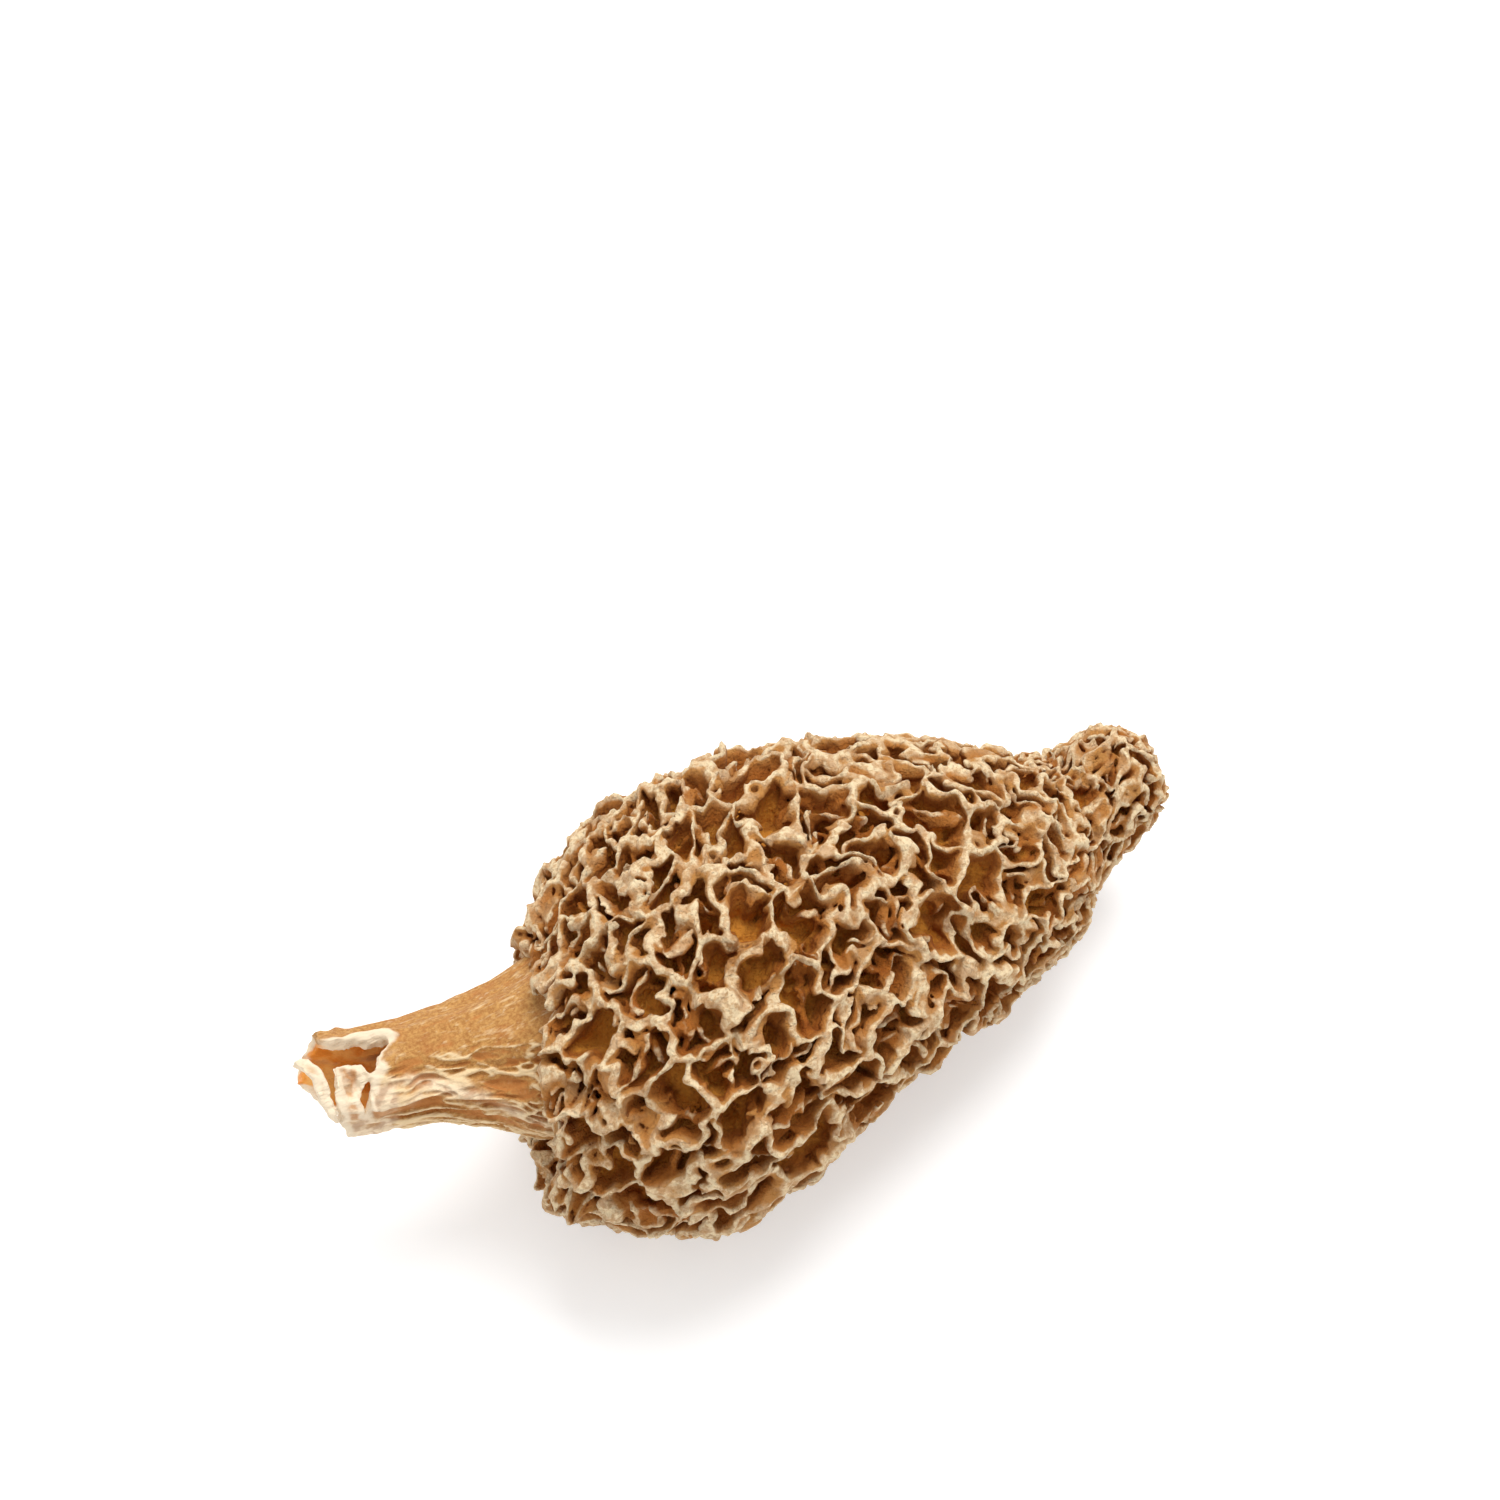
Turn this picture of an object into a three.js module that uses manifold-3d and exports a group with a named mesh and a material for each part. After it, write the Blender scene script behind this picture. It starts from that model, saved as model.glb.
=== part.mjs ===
// A dried morel mushroom lying on its side: a ridged, pitted cap grown in one piece with a hollow
// stem. Millimetres, +Z up, the cap's tip towards +X, the torn mouth of the stem towards -X.
// Cap and stem are one continuous body in a true morel, so the whole mushroom is one mesh.
import * as THREE from "three";
import { mergeVertices } from "three/addons/utils/BufferGeometryUtils.js";
import Module from "manifold-3d";

// ---- Driving dimensions: the cap ----

// Cap outline, half a lengthwise section: [distance along the axis, radius], from tip to stem.
const CAP_PROFILE = [
  [54.6, 0], [54.1, 2.2], [52.7, 4.0], [50.5, 5.0], [48.2, 5.1], [45.9, 5.8], [43.3, 7.6],
  [39.3, 9.9], [35.2, 11.3], [31.2, 12.6], [27.1, 13.6], [23.1, 14.5], [19.0, 15.6],
  [15.0, 16.4], [11.0, 16.5], [6.9, 15.7], [2.8, 13.4], [-0.2, 11.2], [-1.7, 9.7], [-0.9, 7.4],
  [0.6, 4.2], [1.6, 0],
];
// Where the cap's middle leaves its straight axis: [distance along the axis, sideways shift].
const CAP_BOW = [
  [-3, 0.5], [3, 0.8], [7, 1.2], [11, 1.0], [16, 0.1], [20, -0.6], [24, -1.1], [31, -1.0],
  [36, -0.5], [43, 0.1], [46, -0.4], [49, -1.5], [51.5, -1.8], [54.6, -1.4],
];
const BOW_Y = -0.887; // the bow's direction across the axis
const BOW_Z = -0.46;
const AXIS_SLOPE_Y = 0.073; // the axis heads a little towards +Y and down to the tip
const AXIS_SLOPE_Z = -0.087;
const AXIS_HEIGHT = 15.8; // axis height above the surface at the cap's base
const RIM_SKEW = 0.27; // the rim reaches further back on the bow's side
const RIM_SKEW_END = 24; // distance along the axis where the skew has faded out
const LUMPS = [ // slow swellings round the cap: [size, count round, phase, turn per mm]
  [0.025, 2, 0.9, 0.05],
  [0.018, 3, 1.7, -0.11],
  [0.012, 5, 0.3, 0.16],
];

// ---- Driving dimensions: pits and the ridges between them ----

const PIT_WIDTH = [ // [distance along the axis, distance between neighbouring pits' middles]
  [-2, 4.2], [4, 4.5], [12, 4.9], [28, 4.8], [38, 4.1], [44, 3.3], [48, 2.9], [54, 2.7],
];
const PIT_DEPTH = [ // [distance along the axis, depth]
  [-1, 1.7], [4, 2.6], [10, 3.2], [28, 3.0], [38, 2.4], [46, 1.3], [54, 1.1],
];
const RIDGE_WIDTH = 0.72;
const NARROWEST_MOUTH = 0.7; // a pit's mouth keeps this share of the pit's width
const PIT_FLOOR_SHARE = 0.7; // the floor's width as a share of the mouth's, on flat ground
const PIT_FLOOR_SAG = 0.25; // the floor's middle is this much deeper than its edge
const TIGHTEST_BEND = 3.5; // pits narrow inwards as round this radius, or round the cap's own
const SEED = 20;
const SEED_SCATTER = 0.3; // how far a pit strays from its place in the spiral, in pit widths
const SHORT_EDGE = 0.24; // ridge junctions closer than this share of a pit width are one
const SWAY = 0.45; // how far the ridge net is swept sideways by slow waves
const SWAY_RATE = 1.2; // radians per mm
const CREST_RISE = 0.35; // crests rise and fall by this much
const CREST_RATE = 0.9;
const EDGE_KINK = 0.12; // a ridge's middle stands aside by up to this share of its length

// ---- Driving dimensions: the stem ----

const STEM_LINE = [ // its middle line: [x, y, height above the axis at the cap's base]
  [7, 0.2, -0.5], [3, 0.1, -0.3], [-0.4, 0.1, -0.1], [-3.2, 0.7, 0.1], [-5.9, 1.6, 0.5],
  [-9.8, 2.5, 1.1], [-12.6, 3.0, 1.5], [-15.6, 3.6, 2.0], [-19, 4.3, 2.5],
];
const STEM_RADIUS = [ // [x, outer radius]
  [7, 7.8], [3, 7.8], [0, 6.9], [-3, 5.9], [-6, 4.8], [-9.5, 4.1], [-12.5, 4.0], [-15.5, 4.2],
  [-19, 4.4],
];
const STEM_GROOVES = [ // lengthwise furrows: [depth as a share of the radius, count, phase, twist]
  [0.035, 5, 0.4, 0.12],
  [0.03, 9, 2.0, -0.07],
];
const STEM_RINGS_X = [6, 3, 0.5, -1.5, -3.5, -5.5, -7.5, -9]; // whole rings of its skin
const STEM_MOUTH_SHARES = [0.35, 0.7, 1]; // rings from the last whole ring to the torn edge
const STEM_END_X = -10.5; // middle of the skin's end, within the hollow
// The torn mouth: [angle round the stem in degrees, x of the torn edge]. 0 faces -Y, 90 up.
const MOUTH_EDGE = [
  [-180, -15.4], [-150, -17.2], [-122, -18.0], [-100, -17.0], [-80, -15.8], [-32, -15.3],
  [0, -15.0], [22, -14.6], [40, -12.6], [60, -11.8], [82, -11.2], [98, -11.8], [112, -14.2],
  [147, -14.6], [180, -15.2],
];
const STEM_WALL = 0.9;
const HOLLOW_MOST = 3.3; // the hollow's largest radius
const HOLLOW_RINGS_X = [5.6, 4.6, 2.5, -1, -5, -8.5, -12, -18.5];
const HOLLOW_END_X = 6.0; // the hollow's round end, inside the cap
const HOLLOW_END_LENGTH = 4; // over which it narrows to that end

// ---- Fineness and place ----

const PROFILE_STEPS = 2000; // steps along the profile used to spread the pits
const FINE_ROWS = 260; // fine rows and columns used to find which pit owns which ground
const FINE_COLUMNS = 360;
const STEM_SIDES = 30;
const HOLLOW_SIDES = 16;
const FLOOR_BLOCK = 200; // a block this wide and high is cut away under the surface
const ORIGIN = new THREE.Vector3(18.166, 0.612, 0); // middle of the body's footprint

// ---- Small helpers ----

// A repeatable stream of numbers from 0 to 1.
function randomStream(seed) {
  let state = seed >>> 0;
  return () => {
    state = (Math.imul(state, 1664525) + 1013904223) >>> 0;
    return state / 2 ** 32;
  };
}

// The value at x in a table of [x, value] rows, by straight lines between the rows.
function along(table, x) {
  const rows = table[0][0] < table[table.length - 1][0] ? table : [...table].reverse();
  if (x <= rows[0][0]) return rows[0][1];
  for (let i = 1; i < rows.length; i++) {
    const [x0, v0] = rows[i - 1];
    const [x1, v1] = rows[i];
    if (x <= x1) return v0 + ((v1 - v0) * (x - x0)) / (x1 - x0);
  }
  return rows[rows.length - 1][1];
}

// Slow waves through space, from -1 to 1.
function waves(p, rate, phase) {
  const first = Math.sin(rate * (p.x + 0.73 * p.y + 0.29 * p.z) + phase);
  const second = Math.sin(rate * (-0.52 * p.x + 1.07 * p.y + 0.61 * p.z) + 2.1 * phase + 1.3);
  const third = Math.sin(rate * (0.31 * p.x - 0.64 * p.y + 0.99 * p.z) + 0.7 * phase + 4.1);
  return (first + second + third) / 3;
}

function middleOfAll(points) {
  return points.reduce((s, p) => s.add(p), new THREE.Vector3()).divideScalar(points.length);
}

// ---- The cap's outer surface, on a straight axis ----

const profile = new THREE.SplineCurve(CAP_PROFILE.map(([x, r]) => new THREE.Vector2(x, r)));

function lumpFactor(x, angle) {
  return LUMPS.reduce((f, [size, n, phase, turn]) => f + size * Math.sin(n * angle + phase + turn * x), 1);
}

// The surface point at t (0 tip, 1 stem) and an angle round the axis.
function capPoint(t, angle) {
  const p = profile.getPoint(t);
  const r = Math.max(0, p.y) * lumpFactor(p.x, angle);
  return new THREE.Vector3(p.x, r * Math.cos(angle), r * Math.sin(angle));
}

function capNormal(t, angle) {
  const d = 1e-3;
  const inside = THREE.MathUtils.clamp(t, 2 * d, 1 - 2 * d);
  const lengthwise = capPoint(inside + d, angle).sub(capPoint(inside - d, angle));
  const round = capPoint(inside, angle + d).sub(capPoint(inside, angle - d));
  return lengthwise.cross(round).normalize();
}

// Moves a point from the straight cap to where it lies: bowed, sloping and with its rim askew.
function lay(p) {
  const side = BOW_Y * p.y + BOW_Z * p.z;
  const fade = THREE.MathUtils.clamp(1 - p.x / RIM_SKEW_END, 0, 1) ** 2;
  const bow = along(CAP_BOW, p.x);
  return new THREE.Vector3(
    p.x - RIM_SKEW * side * fade,
    p.y + AXIS_SLOPE_Y * p.x + BOW_Y * bow,
    p.z + AXIS_SLOPE_Z * p.x + BOW_Z * bow + AXIS_HEIGHT,
  );
}

// ---- Pits: their middles, and the net of ridges between them ----

// Middles follow a golden-angle spiral from tip to stem, as close as PIT_WIDTH asks, then stray.
function pitMiddles() {
  const random = randomStream(SEED);
  const cellArea = Math.sqrt(3) / 2; // of a honeycomb cell one unit wide
  const share = [0];
  for (let i = 1; i <= PROFILE_STEPS; i++) {
    const a = profile.getPoint((i - 1) / PROFILE_STEPS);
    const b = profile.getPoint(i / PROFILE_STEPS);
    const area = Math.PI * (a.y + b.y) * a.distanceTo(b);
    share.push(share[i - 1] + area / (cellArea * along(PIT_WIDTH, b.x) ** 2));
  }
  const golden = Math.PI * (3 - Math.sqrt(5));
  const small = 1e-3;
  const pits = [];
  for (let k = 0; k + 0.5 < share[PROFILE_STEPS]; k++) {
    const at = share.findIndex((s) => s >= k + 0.5) / PROFILE_STEPS;
    const p = profile.getPoint(at);
    const width = along(PIT_WIDTH, p.x);
    const speed = profile.getPoint(Math.min(1, at + small)).distanceTo(p) / small;
    const t = at + (SEED_SCATTER * width * (2 * random() - 1)) / speed;
    const stray = (SEED_SCATTER * width * (2 * random() - 1)) / Math.max(p.y, width);
    pits.push({ t: THREE.MathUtils.clamp(t, 0, 1), angle: k * golden + stray, width });
  }
  for (const pit of pits) {
    pit.middle = capPoint(pit.t, pit.angle);
    pit.normal = capNormal(pit.t, pit.angle);
  }
  return pits;
}

function nearestPit(pits, p) {
  let best = 0;
  let least = Infinity;
  pits.forEach((pit, i) => {
    const d = pit.middle.distanceToSquared(p);
    if (d < least) [least, best] = [d, i];
  });
  return best;
}

// Which pit owns each point of a fine grid over the surface, in rows from tip to stem.
function ownerGrid(pits) {
  const owner = [];
  for (let r = 0; r <= FINE_ROWS; r++) {
    const row = [];
    for (let c = 0; c < FINE_COLUMNS; c++) {
      const pole = r === 0 || r === FINE_ROWS;
      if (pole && c > 0) row.push(row[0]);
      else row.push(nearestPit(pits, capPoint(r / FINE_ROWS, (2 * Math.PI * c) / FINE_COLUMNS)));
    }
    owner.push(row);
  }
  return owner;
}

// Ridge junctions: places on the surface where three pits meet. Each is { pits, point, normal }.
function ridgeJunctions(pits) {
  const owner = ownerGrid(pits);
  const junctions = [];
  const look = (corners) => {
    const owners = new Set(corners.map(([r, c]) => owner[r][c % FINE_COLUMNS]));
    if (owners.size < 3) return;
    const row = corners.reduce((s, [r]) => s + r, 0) / 3;
    const column = corners.reduce((s, [, c]) => s + c, 0) / 3;
    const t = row / FINE_ROWS;
    const angle = (2 * Math.PI * column) / FINE_COLUMNS;
    junctions.push({ pits: owners, point: capPoint(t, angle), normal: capNormal(t, angle) });
  };
  for (let r = 0; r < FINE_ROWS; r++)
    for (let c = 0; c < FINE_COLUMNS; c++) {
      look([[r, c], [r, c + 1], [r + 1, c]]);
      look([[r, c + 1], [r + 1, c + 1], [r + 1, c]]);
    }
  return junctions;
}

// Joins junctions that lie very close together, so that no ridge is shorter than it is wide.
function mergeClose(junctions, pits) {
  const group = junctions.map((_, i) => i);
  const root = (i) => (group[i] === i ? i : (group[i] = root(group[i])));
  for (let i = 0; i < junctions.length; i++)
    for (let j = 0; j < i; j++) {
      const a = junctions[i];
      const b = junctions[j];
      const common = [...a.pits].filter((k) => b.pits.has(k));
      if (common.length < 2) continue;
      if (a.point.distanceTo(b.point) < SHORT_EDGE * pits[common[0]].width) group[root(i)] = root(j);
    }
  const merged = new Map();
  junctions.forEach((junction, i) => {
    const key = root(i);
    if (!merged.has(key)) merged.set(key, { pits: new Set(), points: [], normal: new THREE.Vector3() });
    const m = merged.get(key);
    junction.pits.forEach((k) => m.pits.add(k));
    m.points.push(junction.point);
    m.normal.add(junction.normal);
  });
  return [...merged.values()].map((m) => {
    const normal = m.normal.normalize();
    return { pits: m.pits, point: middleOfAll(m.points), normal };
  });
}

// Sweeps a point of the net sideways and sets its crest height.
function sway(point, normal) {
  const [x, y, z] = [1, 2, 3].map((phase) => SWAY * waves(point, SWAY_RATE, phase));
  const shift = new THREE.Vector3(x, y, z).projectOnPlane(normal);
  return point.clone().add(shift).addScaledVector(normal, CREST_RISE * waves(point, CREST_RATE, 5));
}

// ---- Mesh of the cap ----

const ridgeKey = (a, b) => Math.min(a, b) + "_" + Math.max(a, b);

// The middle of each ridge, by the numbers of the two junctions it joins.
function ridgeMiddles(junctions) {
  const random = randomStream(SEED + 1);
  const middles = new Map();
  return (a, b) => {
    const key = ridgeKey(a, b);
    if (!middles.has(key)) {
      const [p, q] = [junctions[Math.min(a, b)], junctions[Math.max(a, b)]];
      const normal = p.normal.clone().add(q.normal).normalize();
      const sideways = q.crest.clone().sub(p.crest).cross(normal);
      const kink = EDGE_KINK * (2 * random() - 1);
      const middle = p.crest.clone().lerp(q.crest, 0.5).addScaledVector(sideways, kink);
      middles.set(key, middle);
    }
    return middles.get(key);
  };
}

// The junctions round a pit, in order as seen from outside.
function sortedCorners(pit, i, junctions) {
  const corners = junctions.map((_, k) => k).filter((k) => junctions[k].pits.has(i));
  const across = new THREE.Vector3(0.3, 0.5, 0.8).projectOnPlane(pit.normal).normalize();
  const up = pit.normal.clone().cross(across);
  const angleOf = (k) => {
    const d = junctions[k].point.clone().sub(pit.middle);
    return Math.atan2(d.dot(up), d.dot(across));
  };
  return corners.sort((a, b) => angleOf(a) - angleOf(b));
}

// Ridge tops: a strip along each ridge, laid by the pit with the lower number.
function addRidgeTops(pits, junctions, mouthAt, faces) {
  pits.forEach((pit, i) => {
    pit.corners.forEach((a, j) => {
      const b = pit.corners[(j + 1) % pit.corners.length];
      const shared = [...junctions[a].pits].filter((k) => k !== i && junctions[b].pits.has(k));
      const other = shared.find((k) => {
        const around = pits[k].corners;
        const at = around.indexOf(b);
        return at >= 0 && around[(at + 1) % around.length] === a;
      });
      if (other < i) return;
      const keys = ["j" + a, ridgeKey(a, b), "j" + b];
      const near = keys.map((k) => mouthAt.get(i + ":" + k));
      const far = keys.map((k) => mouthAt.get(other + ":" + k));
      for (const s of [0, 1])
        faces.push([near[s], far[s], far[s + 1]], [near[s], far[s + 1], near[s + 1]]);
    });
  });
}

// Junction tops: the small flat between the ends of three or more ridges.
function addJunctionTops(pits, junctions, mouthAt, faces) {
  junctions.forEach((junction, k) => {
    const start = [...junction.pits][0];
    const around = [start];
    for (;;) {
      const i = around[around.length - 1];
      const corners = pits[i].corners;
      const before = corners[(corners.indexOf(k) + corners.length - 1) % corners.length];
      const next = [...junction.pits].find((o) => {
        const c = pits[o].corners;
        return o !== i && c[(c.indexOf(k) + 1) % c.length] === before;
      });
      if (next === start) break;
      around.push(next);
    }
    const ids = around.map((i) => mouthAt.get(i + ":j" + k));
    for (let j = 1; j + 1 < ids.length; j++) faces.push([ids[0], ids[j], ids[j + 1]]);
  });
}

function capMesh() {
  const pits = pitMiddles();
  const junctions = mergeClose(ridgeJunctions(pits), pits);
  for (const junction of junctions) junction.crest = sway(junction.point, junction.normal);
  const middleOf = ridgeMiddles(junctions);
  const vertices = [];
  const faces = [];
  const addVertex = (p) => vertices.push(lay(p)) - 1;
  const mouthAt = new Map(); // "pit:point key" to the vertex on that pit's mouth

  pits.forEach((pit, i) => {
    pit.corners = sortedCorners(pit, i, junctions);
    const n = pit.corners.length;
    const ring = pit.corners.flatMap((k, j) => {
      const next = pit.corners[(j + 1) % n];
      return [["j" + k, junctions[k].crest], [ridgeKey(k, next), middleOf(k, next)]];
    });
    const centre = middleOfAll(ring.map(([, p]) => p));
    const inner = Math.min(...ring.map(([, p]) => p.distanceTo(centre)));
    const mouthShare = Math.max(NARROWEST_MOUTH, 1 - RIDGE_WIDTH / 2 / inner);
    const depth = along(PIT_DEPTH, pit.middle.x);
    const bend = Math.max(TIGHTEST_BEND, Math.hypot(pit.middle.y, pit.middle.z));
    const floorShare = PIT_FLOOR_SHARE * (1 - depth / bend);
    const mouth = ring.map(([key, p]) => {
      const v = addVertex(centre.clone().lerp(p, mouthShare));
      mouthAt.set(i + ":" + key, v);
      return v;
    });
    const floor = pit.corners.map((k) => {
      const p = centre.clone().lerp(junctions[k].crest, floorShare);
      return addVertex(p.addScaledVector(pit.normal, -depth));
    });
    const bottom = addVertex(centre.clone().addScaledVector(pit.normal, -depth - PIT_FLOOR_SAG));
    for (let j = 0; j < n; j++) {
      const [a, m, b] = [mouth[2 * j], mouth[2 * j + 1], mouth[(2 * j + 2) % (2 * n)]];
      const [fa, fb] = [floor[j], floor[(j + 1) % n]];
      faces.push([a, m, fa], [m, fb, fa], [m, b, fb], [fa, fb, bottom]);
    }
  });
  addRidgeTops(pits, junctions, mouthAt, faces);
  addJunctionTops(pits, junctions, mouthAt, faces);
  return { vertices, faces };
}

// ---- Meshes of the stem and its hollow ----

const stemLine = new THREE.CatmullRomCurve3(
  STEM_LINE.map(([x, y, z]) => new THREE.Vector3(x, y, z + AXIS_HEIGHT)),
);

// Where the stem's middle line is at x. The line runs steadily towards -X.
function stemMiddle(x) {
  const halvings = 40;
  let low = 0;
  let high = 1;
  for (let i = 0; i < halvings; i++) {
    const t = (low + high) / 2;
    if (stemLine.getPoint(t).x > x) low = t;
    else high = t;
  }
  return stemLine.getPoint(low);
}

// A ring round the stem, with 0 degrees facing -Y and 90 up. xAt gives x from the angle.
function stemRing(xAt, radiusAt, sides) {
  return Array.from({ length: sides }, (_, i) => {
    const angle = (2 * Math.PI * i) / sides;
    const x = xAt(angle);
    const r = radiusAt(x, angle);
    const middle = stemMiddle(x);
    return new THREE.Vector3(x, middle.y - r * Math.cos(angle), middle.z + r * Math.sin(angle));
  });
}

// A closed skin over rings of points, each end closed to a middle point.
function skin(rings, firstMiddle, lastMiddle) {
  const vertices = rings.flat();
  const faces = [];
  const n = rings[0].length;
  for (let r = 0; r + 1 < rings.length; r++)
    for (let c = 0; c < n; c++) {
      const [a, b] = [r * n + c, r * n + ((c + 1) % n)];
      faces.push([a, b, a + n], [b, b + n, a + n]);
    }
  const first = vertices.push(firstMiddle) - 1;
  const last = vertices.push(lastMiddle) - 1;
  const lastRing = (rings.length - 1) * n;
  for (let c = 0; c < n; c++) {
    const next = (c + 1) % n;
    faces.push([first, next, c], [last, lastRing + c, lastRing + next]);
  }
  return { vertices, faces };
}

function stemRadius(x, angle) {
  const waviness = STEM_GROOVES.reduce(
    (f, [size, n, phase, twist]) => f + size * Math.sin(n * angle + phase + twist * x),
    1,
  );
  return along(STEM_RADIUS, x) * waviness;
}

function mouthEdge(angle) {
  const degrees = THREE.MathUtils.radToDeg(angle);
  return along(MOUTH_EDGE, THREE.MathUtils.euclideanModulo(degrees + 180, 360) - 180);
}

function stemMesh() {
  const lastX = STEM_RINGS_X[STEM_RINGS_X.length - 1];
  const whole = STEM_RINGS_X.map((x) => () => x);
  const torn = STEM_MOUTH_SHARES.map((s) => (angle) => lastX + s * (mouthEdge(angle) - lastX));
  const rings = [...whole, ...torn].map((xAt) => stemRing(xAt, stemRadius, STEM_SIDES));
  return skin(rings, stemMiddle(STEM_RINGS_X[0]), stemMiddle(STEM_END_X));
}

function hollowRadius(x) {
  const intoEnd = Math.max(0, x - HOLLOW_END_X + HOLLOW_END_LENGTH) / HOLLOW_END_LENGTH;
  const widest = Math.min(HOLLOW_MOST, along(STEM_RADIUS, x) - STEM_WALL);
  return widest * Math.sqrt(1 - intoEnd ** 2);
}

function hollowMesh() {
  const rings = HOLLOW_RINGS_X.map((x) => stemRing(() => x, hollowRadius, HOLLOW_SIDES));
  const lastX = HOLLOW_RINGS_X[HOLLOW_RINGS_X.length - 1];
  return skin(rings, stemMiddle(HOLLOW_END_X), stemMiddle(lastX));
}

// ---- Joining ----

const wasm = await Module();
wasm.setup();

function toSolid({ vertices, faces }) {
  const vertProperties = new Float32Array(vertices.flatMap((v) => [v.x, v.y, v.z]));
  const triVerts = new Uint32Array(faces.flat());
  return new wasm.Manifold(new wasm.Mesh({ numProp: 3, vertProperties, triVerts }));
}

// A block whose top is the surface the mushroom lies on.
function underSurface() {
  const block = new THREE.BoxGeometry(FLOOR_BLOCK, FLOOR_BLOCK, FLOOR_BLOCK);
  block.translate(0, 0, -FLOOR_BLOCK / 2);
  block.deleteAttribute("normal");
  block.deleteAttribute("uv");
  const merged = mergeVertices(block);
  const vertProperties = merged.attributes.position.array;
  const triVerts = new Uint32Array(merged.index.array);
  return new wasm.Manifold(new wasm.Mesh({ numProp: 3, vertProperties, triVerts }));
}

function toGeometry(solid) {
  const mesh = solid.getMesh();
  const position = new THREE.BufferAttribute(new Float32Array(mesh.vertProperties), 3);
  const index = new THREE.BufferAttribute(mesh.triVerts, 1);
  return new THREE.BufferGeometry().setAttribute("position", position).setIndex(index);
}

const body = toSolid(capMesh())
  .add(toSolid(stemMesh()))
  .subtract(toSolid(hollowMesh()))
  .subtract(underSurface());

const morel = new THREE.Mesh(
  toGeometry(body),
  new THREE.MeshStandardMaterial({ color: 0xb48a5a, roughness: 0.85, metalness: 0 }),
);
morel.name = "morel";
morel.position.copy(ORIGIN).negate();

const part = new THREE.Group();
part.add(morel);

export default part;
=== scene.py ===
"""A dried morel mushroom lying on a white table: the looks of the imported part.

The cap's net of ridges follows the same rule as the solid: a spiral of pits over a lumpy, pear-like
cap, and a ridge wherever two pits meet. Here each ridge becomes a thin, crumpled wall with a rounded
crest over a bowl-shaped pit. The cap is worked out on a straight axis along X, with maps over its
surface, and is then laid down where it lies. Cap and stem are each the zero surface of a field that
is less than 0 in the flesh. Lengths are millimetres until a mesh is laid down.
"""

import math

import bpy
import numpy as np
import openvdb
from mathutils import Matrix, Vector


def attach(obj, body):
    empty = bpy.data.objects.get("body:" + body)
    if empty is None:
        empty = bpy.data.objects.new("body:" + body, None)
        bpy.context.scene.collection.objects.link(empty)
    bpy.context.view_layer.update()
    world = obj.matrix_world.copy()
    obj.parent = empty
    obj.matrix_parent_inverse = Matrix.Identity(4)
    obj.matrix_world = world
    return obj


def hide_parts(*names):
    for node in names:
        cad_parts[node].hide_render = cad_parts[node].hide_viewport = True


MM = 0.001

# ---- Shape shared with the solid (millimetres, before ORIGIN is taken off) ----

CAP_PROFILE = [  # half a lengthwise section: (distance along the axis, radius), tip to stem
    (54.6, 0), (54.1, 2.2), (52.7, 4.0), (50.5, 5.0), (48.2, 5.1), (45.9, 5.8), (43.3, 7.6),
    (39.3, 9.9), (35.2, 11.3), (31.2, 12.6), (27.1, 13.6), (23.1, 14.5), (19.0, 15.6),
    (15.0, 16.4), (11.0, 16.5), (6.9, 15.7), (2.8, 13.4), (-0.2, 11.2), (-1.7, 9.7), (-0.9, 7.4),
    (0.6, 4.2), (1.6, 0),
]
CAP_BOW = [  # (distance along the axis, sideways shift of the cap's middle)
    (-3, 0.5), (3, 0.8), (7, 1.2), (11, 1.0), (16, 0.1), (20, -0.6), (24, -1.1), (31, -1.0),
    (36, -0.5), (43, 0.1), (46, -0.4), (49, -1.5), (51.5, -1.8), (54.6, -1.4),
]
BOW_Y, BOW_Z = -0.887, -0.46
AXIS_SLOPE_Y, AXIS_SLOPE_Z, AXIS_HEIGHT = 0.073, -0.087, 15.8
RIM_SKEW, RIM_SKEW_END = 0.27, 24
LUMPS = [(0.025, 2, 0.9, 0.05), (0.018, 3, 1.7, -0.11), (0.012, 5, 0.3, 0.16)]
PIT_WIDTH = [(-2, 4.2), (4, 4.5), (12, 4.9), (28, 4.8), (38, 4.1), (44, 3.3), (48, 2.9), (54, 2.7)]
PIT_DEPTH = [(-1, 1.7), (4, 2.6), (10, 3.2), (28, 3.0), (38, 2.4), (46, 1.3), (54, 1.1)]
SEED, SEED_SCATTER = 20, 0.3
SWAY, SWAY_RATE, CREST_RISE, CREST_RATE = 0.45, 1.2, 0.35, 0.9
STREAM_FACTOR, STREAM_STEP, STREAM_RANGE = 1664525, 1013904223, 2**32
PROFILE_STEPS, LINE_STEPS = 2000, 200
ORIGIN = np.array([18.166, 0.612, 0.0])

# ---- Fineness and limits ----

MAP_ROWS, MAP_COLUMNS = 1200, 1500  # the cap's surface as a map, from tip to stem and all round
SECTION_STEP, SECTION_X, SECTION_RADIUS = 0.15, (-7, 58), (0, 20)  # half a lengthwise section
CAP_VOXEL, STEM_VOXEL = 0.15, 0.1
CAP_LOW, CAP_HIGH = (-5.0, -18.5, -18.5), (56.5, 18.5, 18.5)  # the space that holds the cap
STEM_LOW = (-20.0, -9.5, AXIS_HEIGHT - 10.5)  # and the stem
STEM_HIGH = (5.0, 10.5, AXIS_HEIGHT + 9.5)
RELIEF_LOW, RELIEF_HIGH = -4.6, 1.3  # the heights over the cap's surface that hold its relief
CAP_TRIANGLES, STEM_TRIANGLES = 780_000, 180_000
CAP_BANDS = 4  # the cap's mesh is split into this many bands from stem to tip
BULGE_ROUNDS = 3  # how often the curvature is evened out
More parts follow.
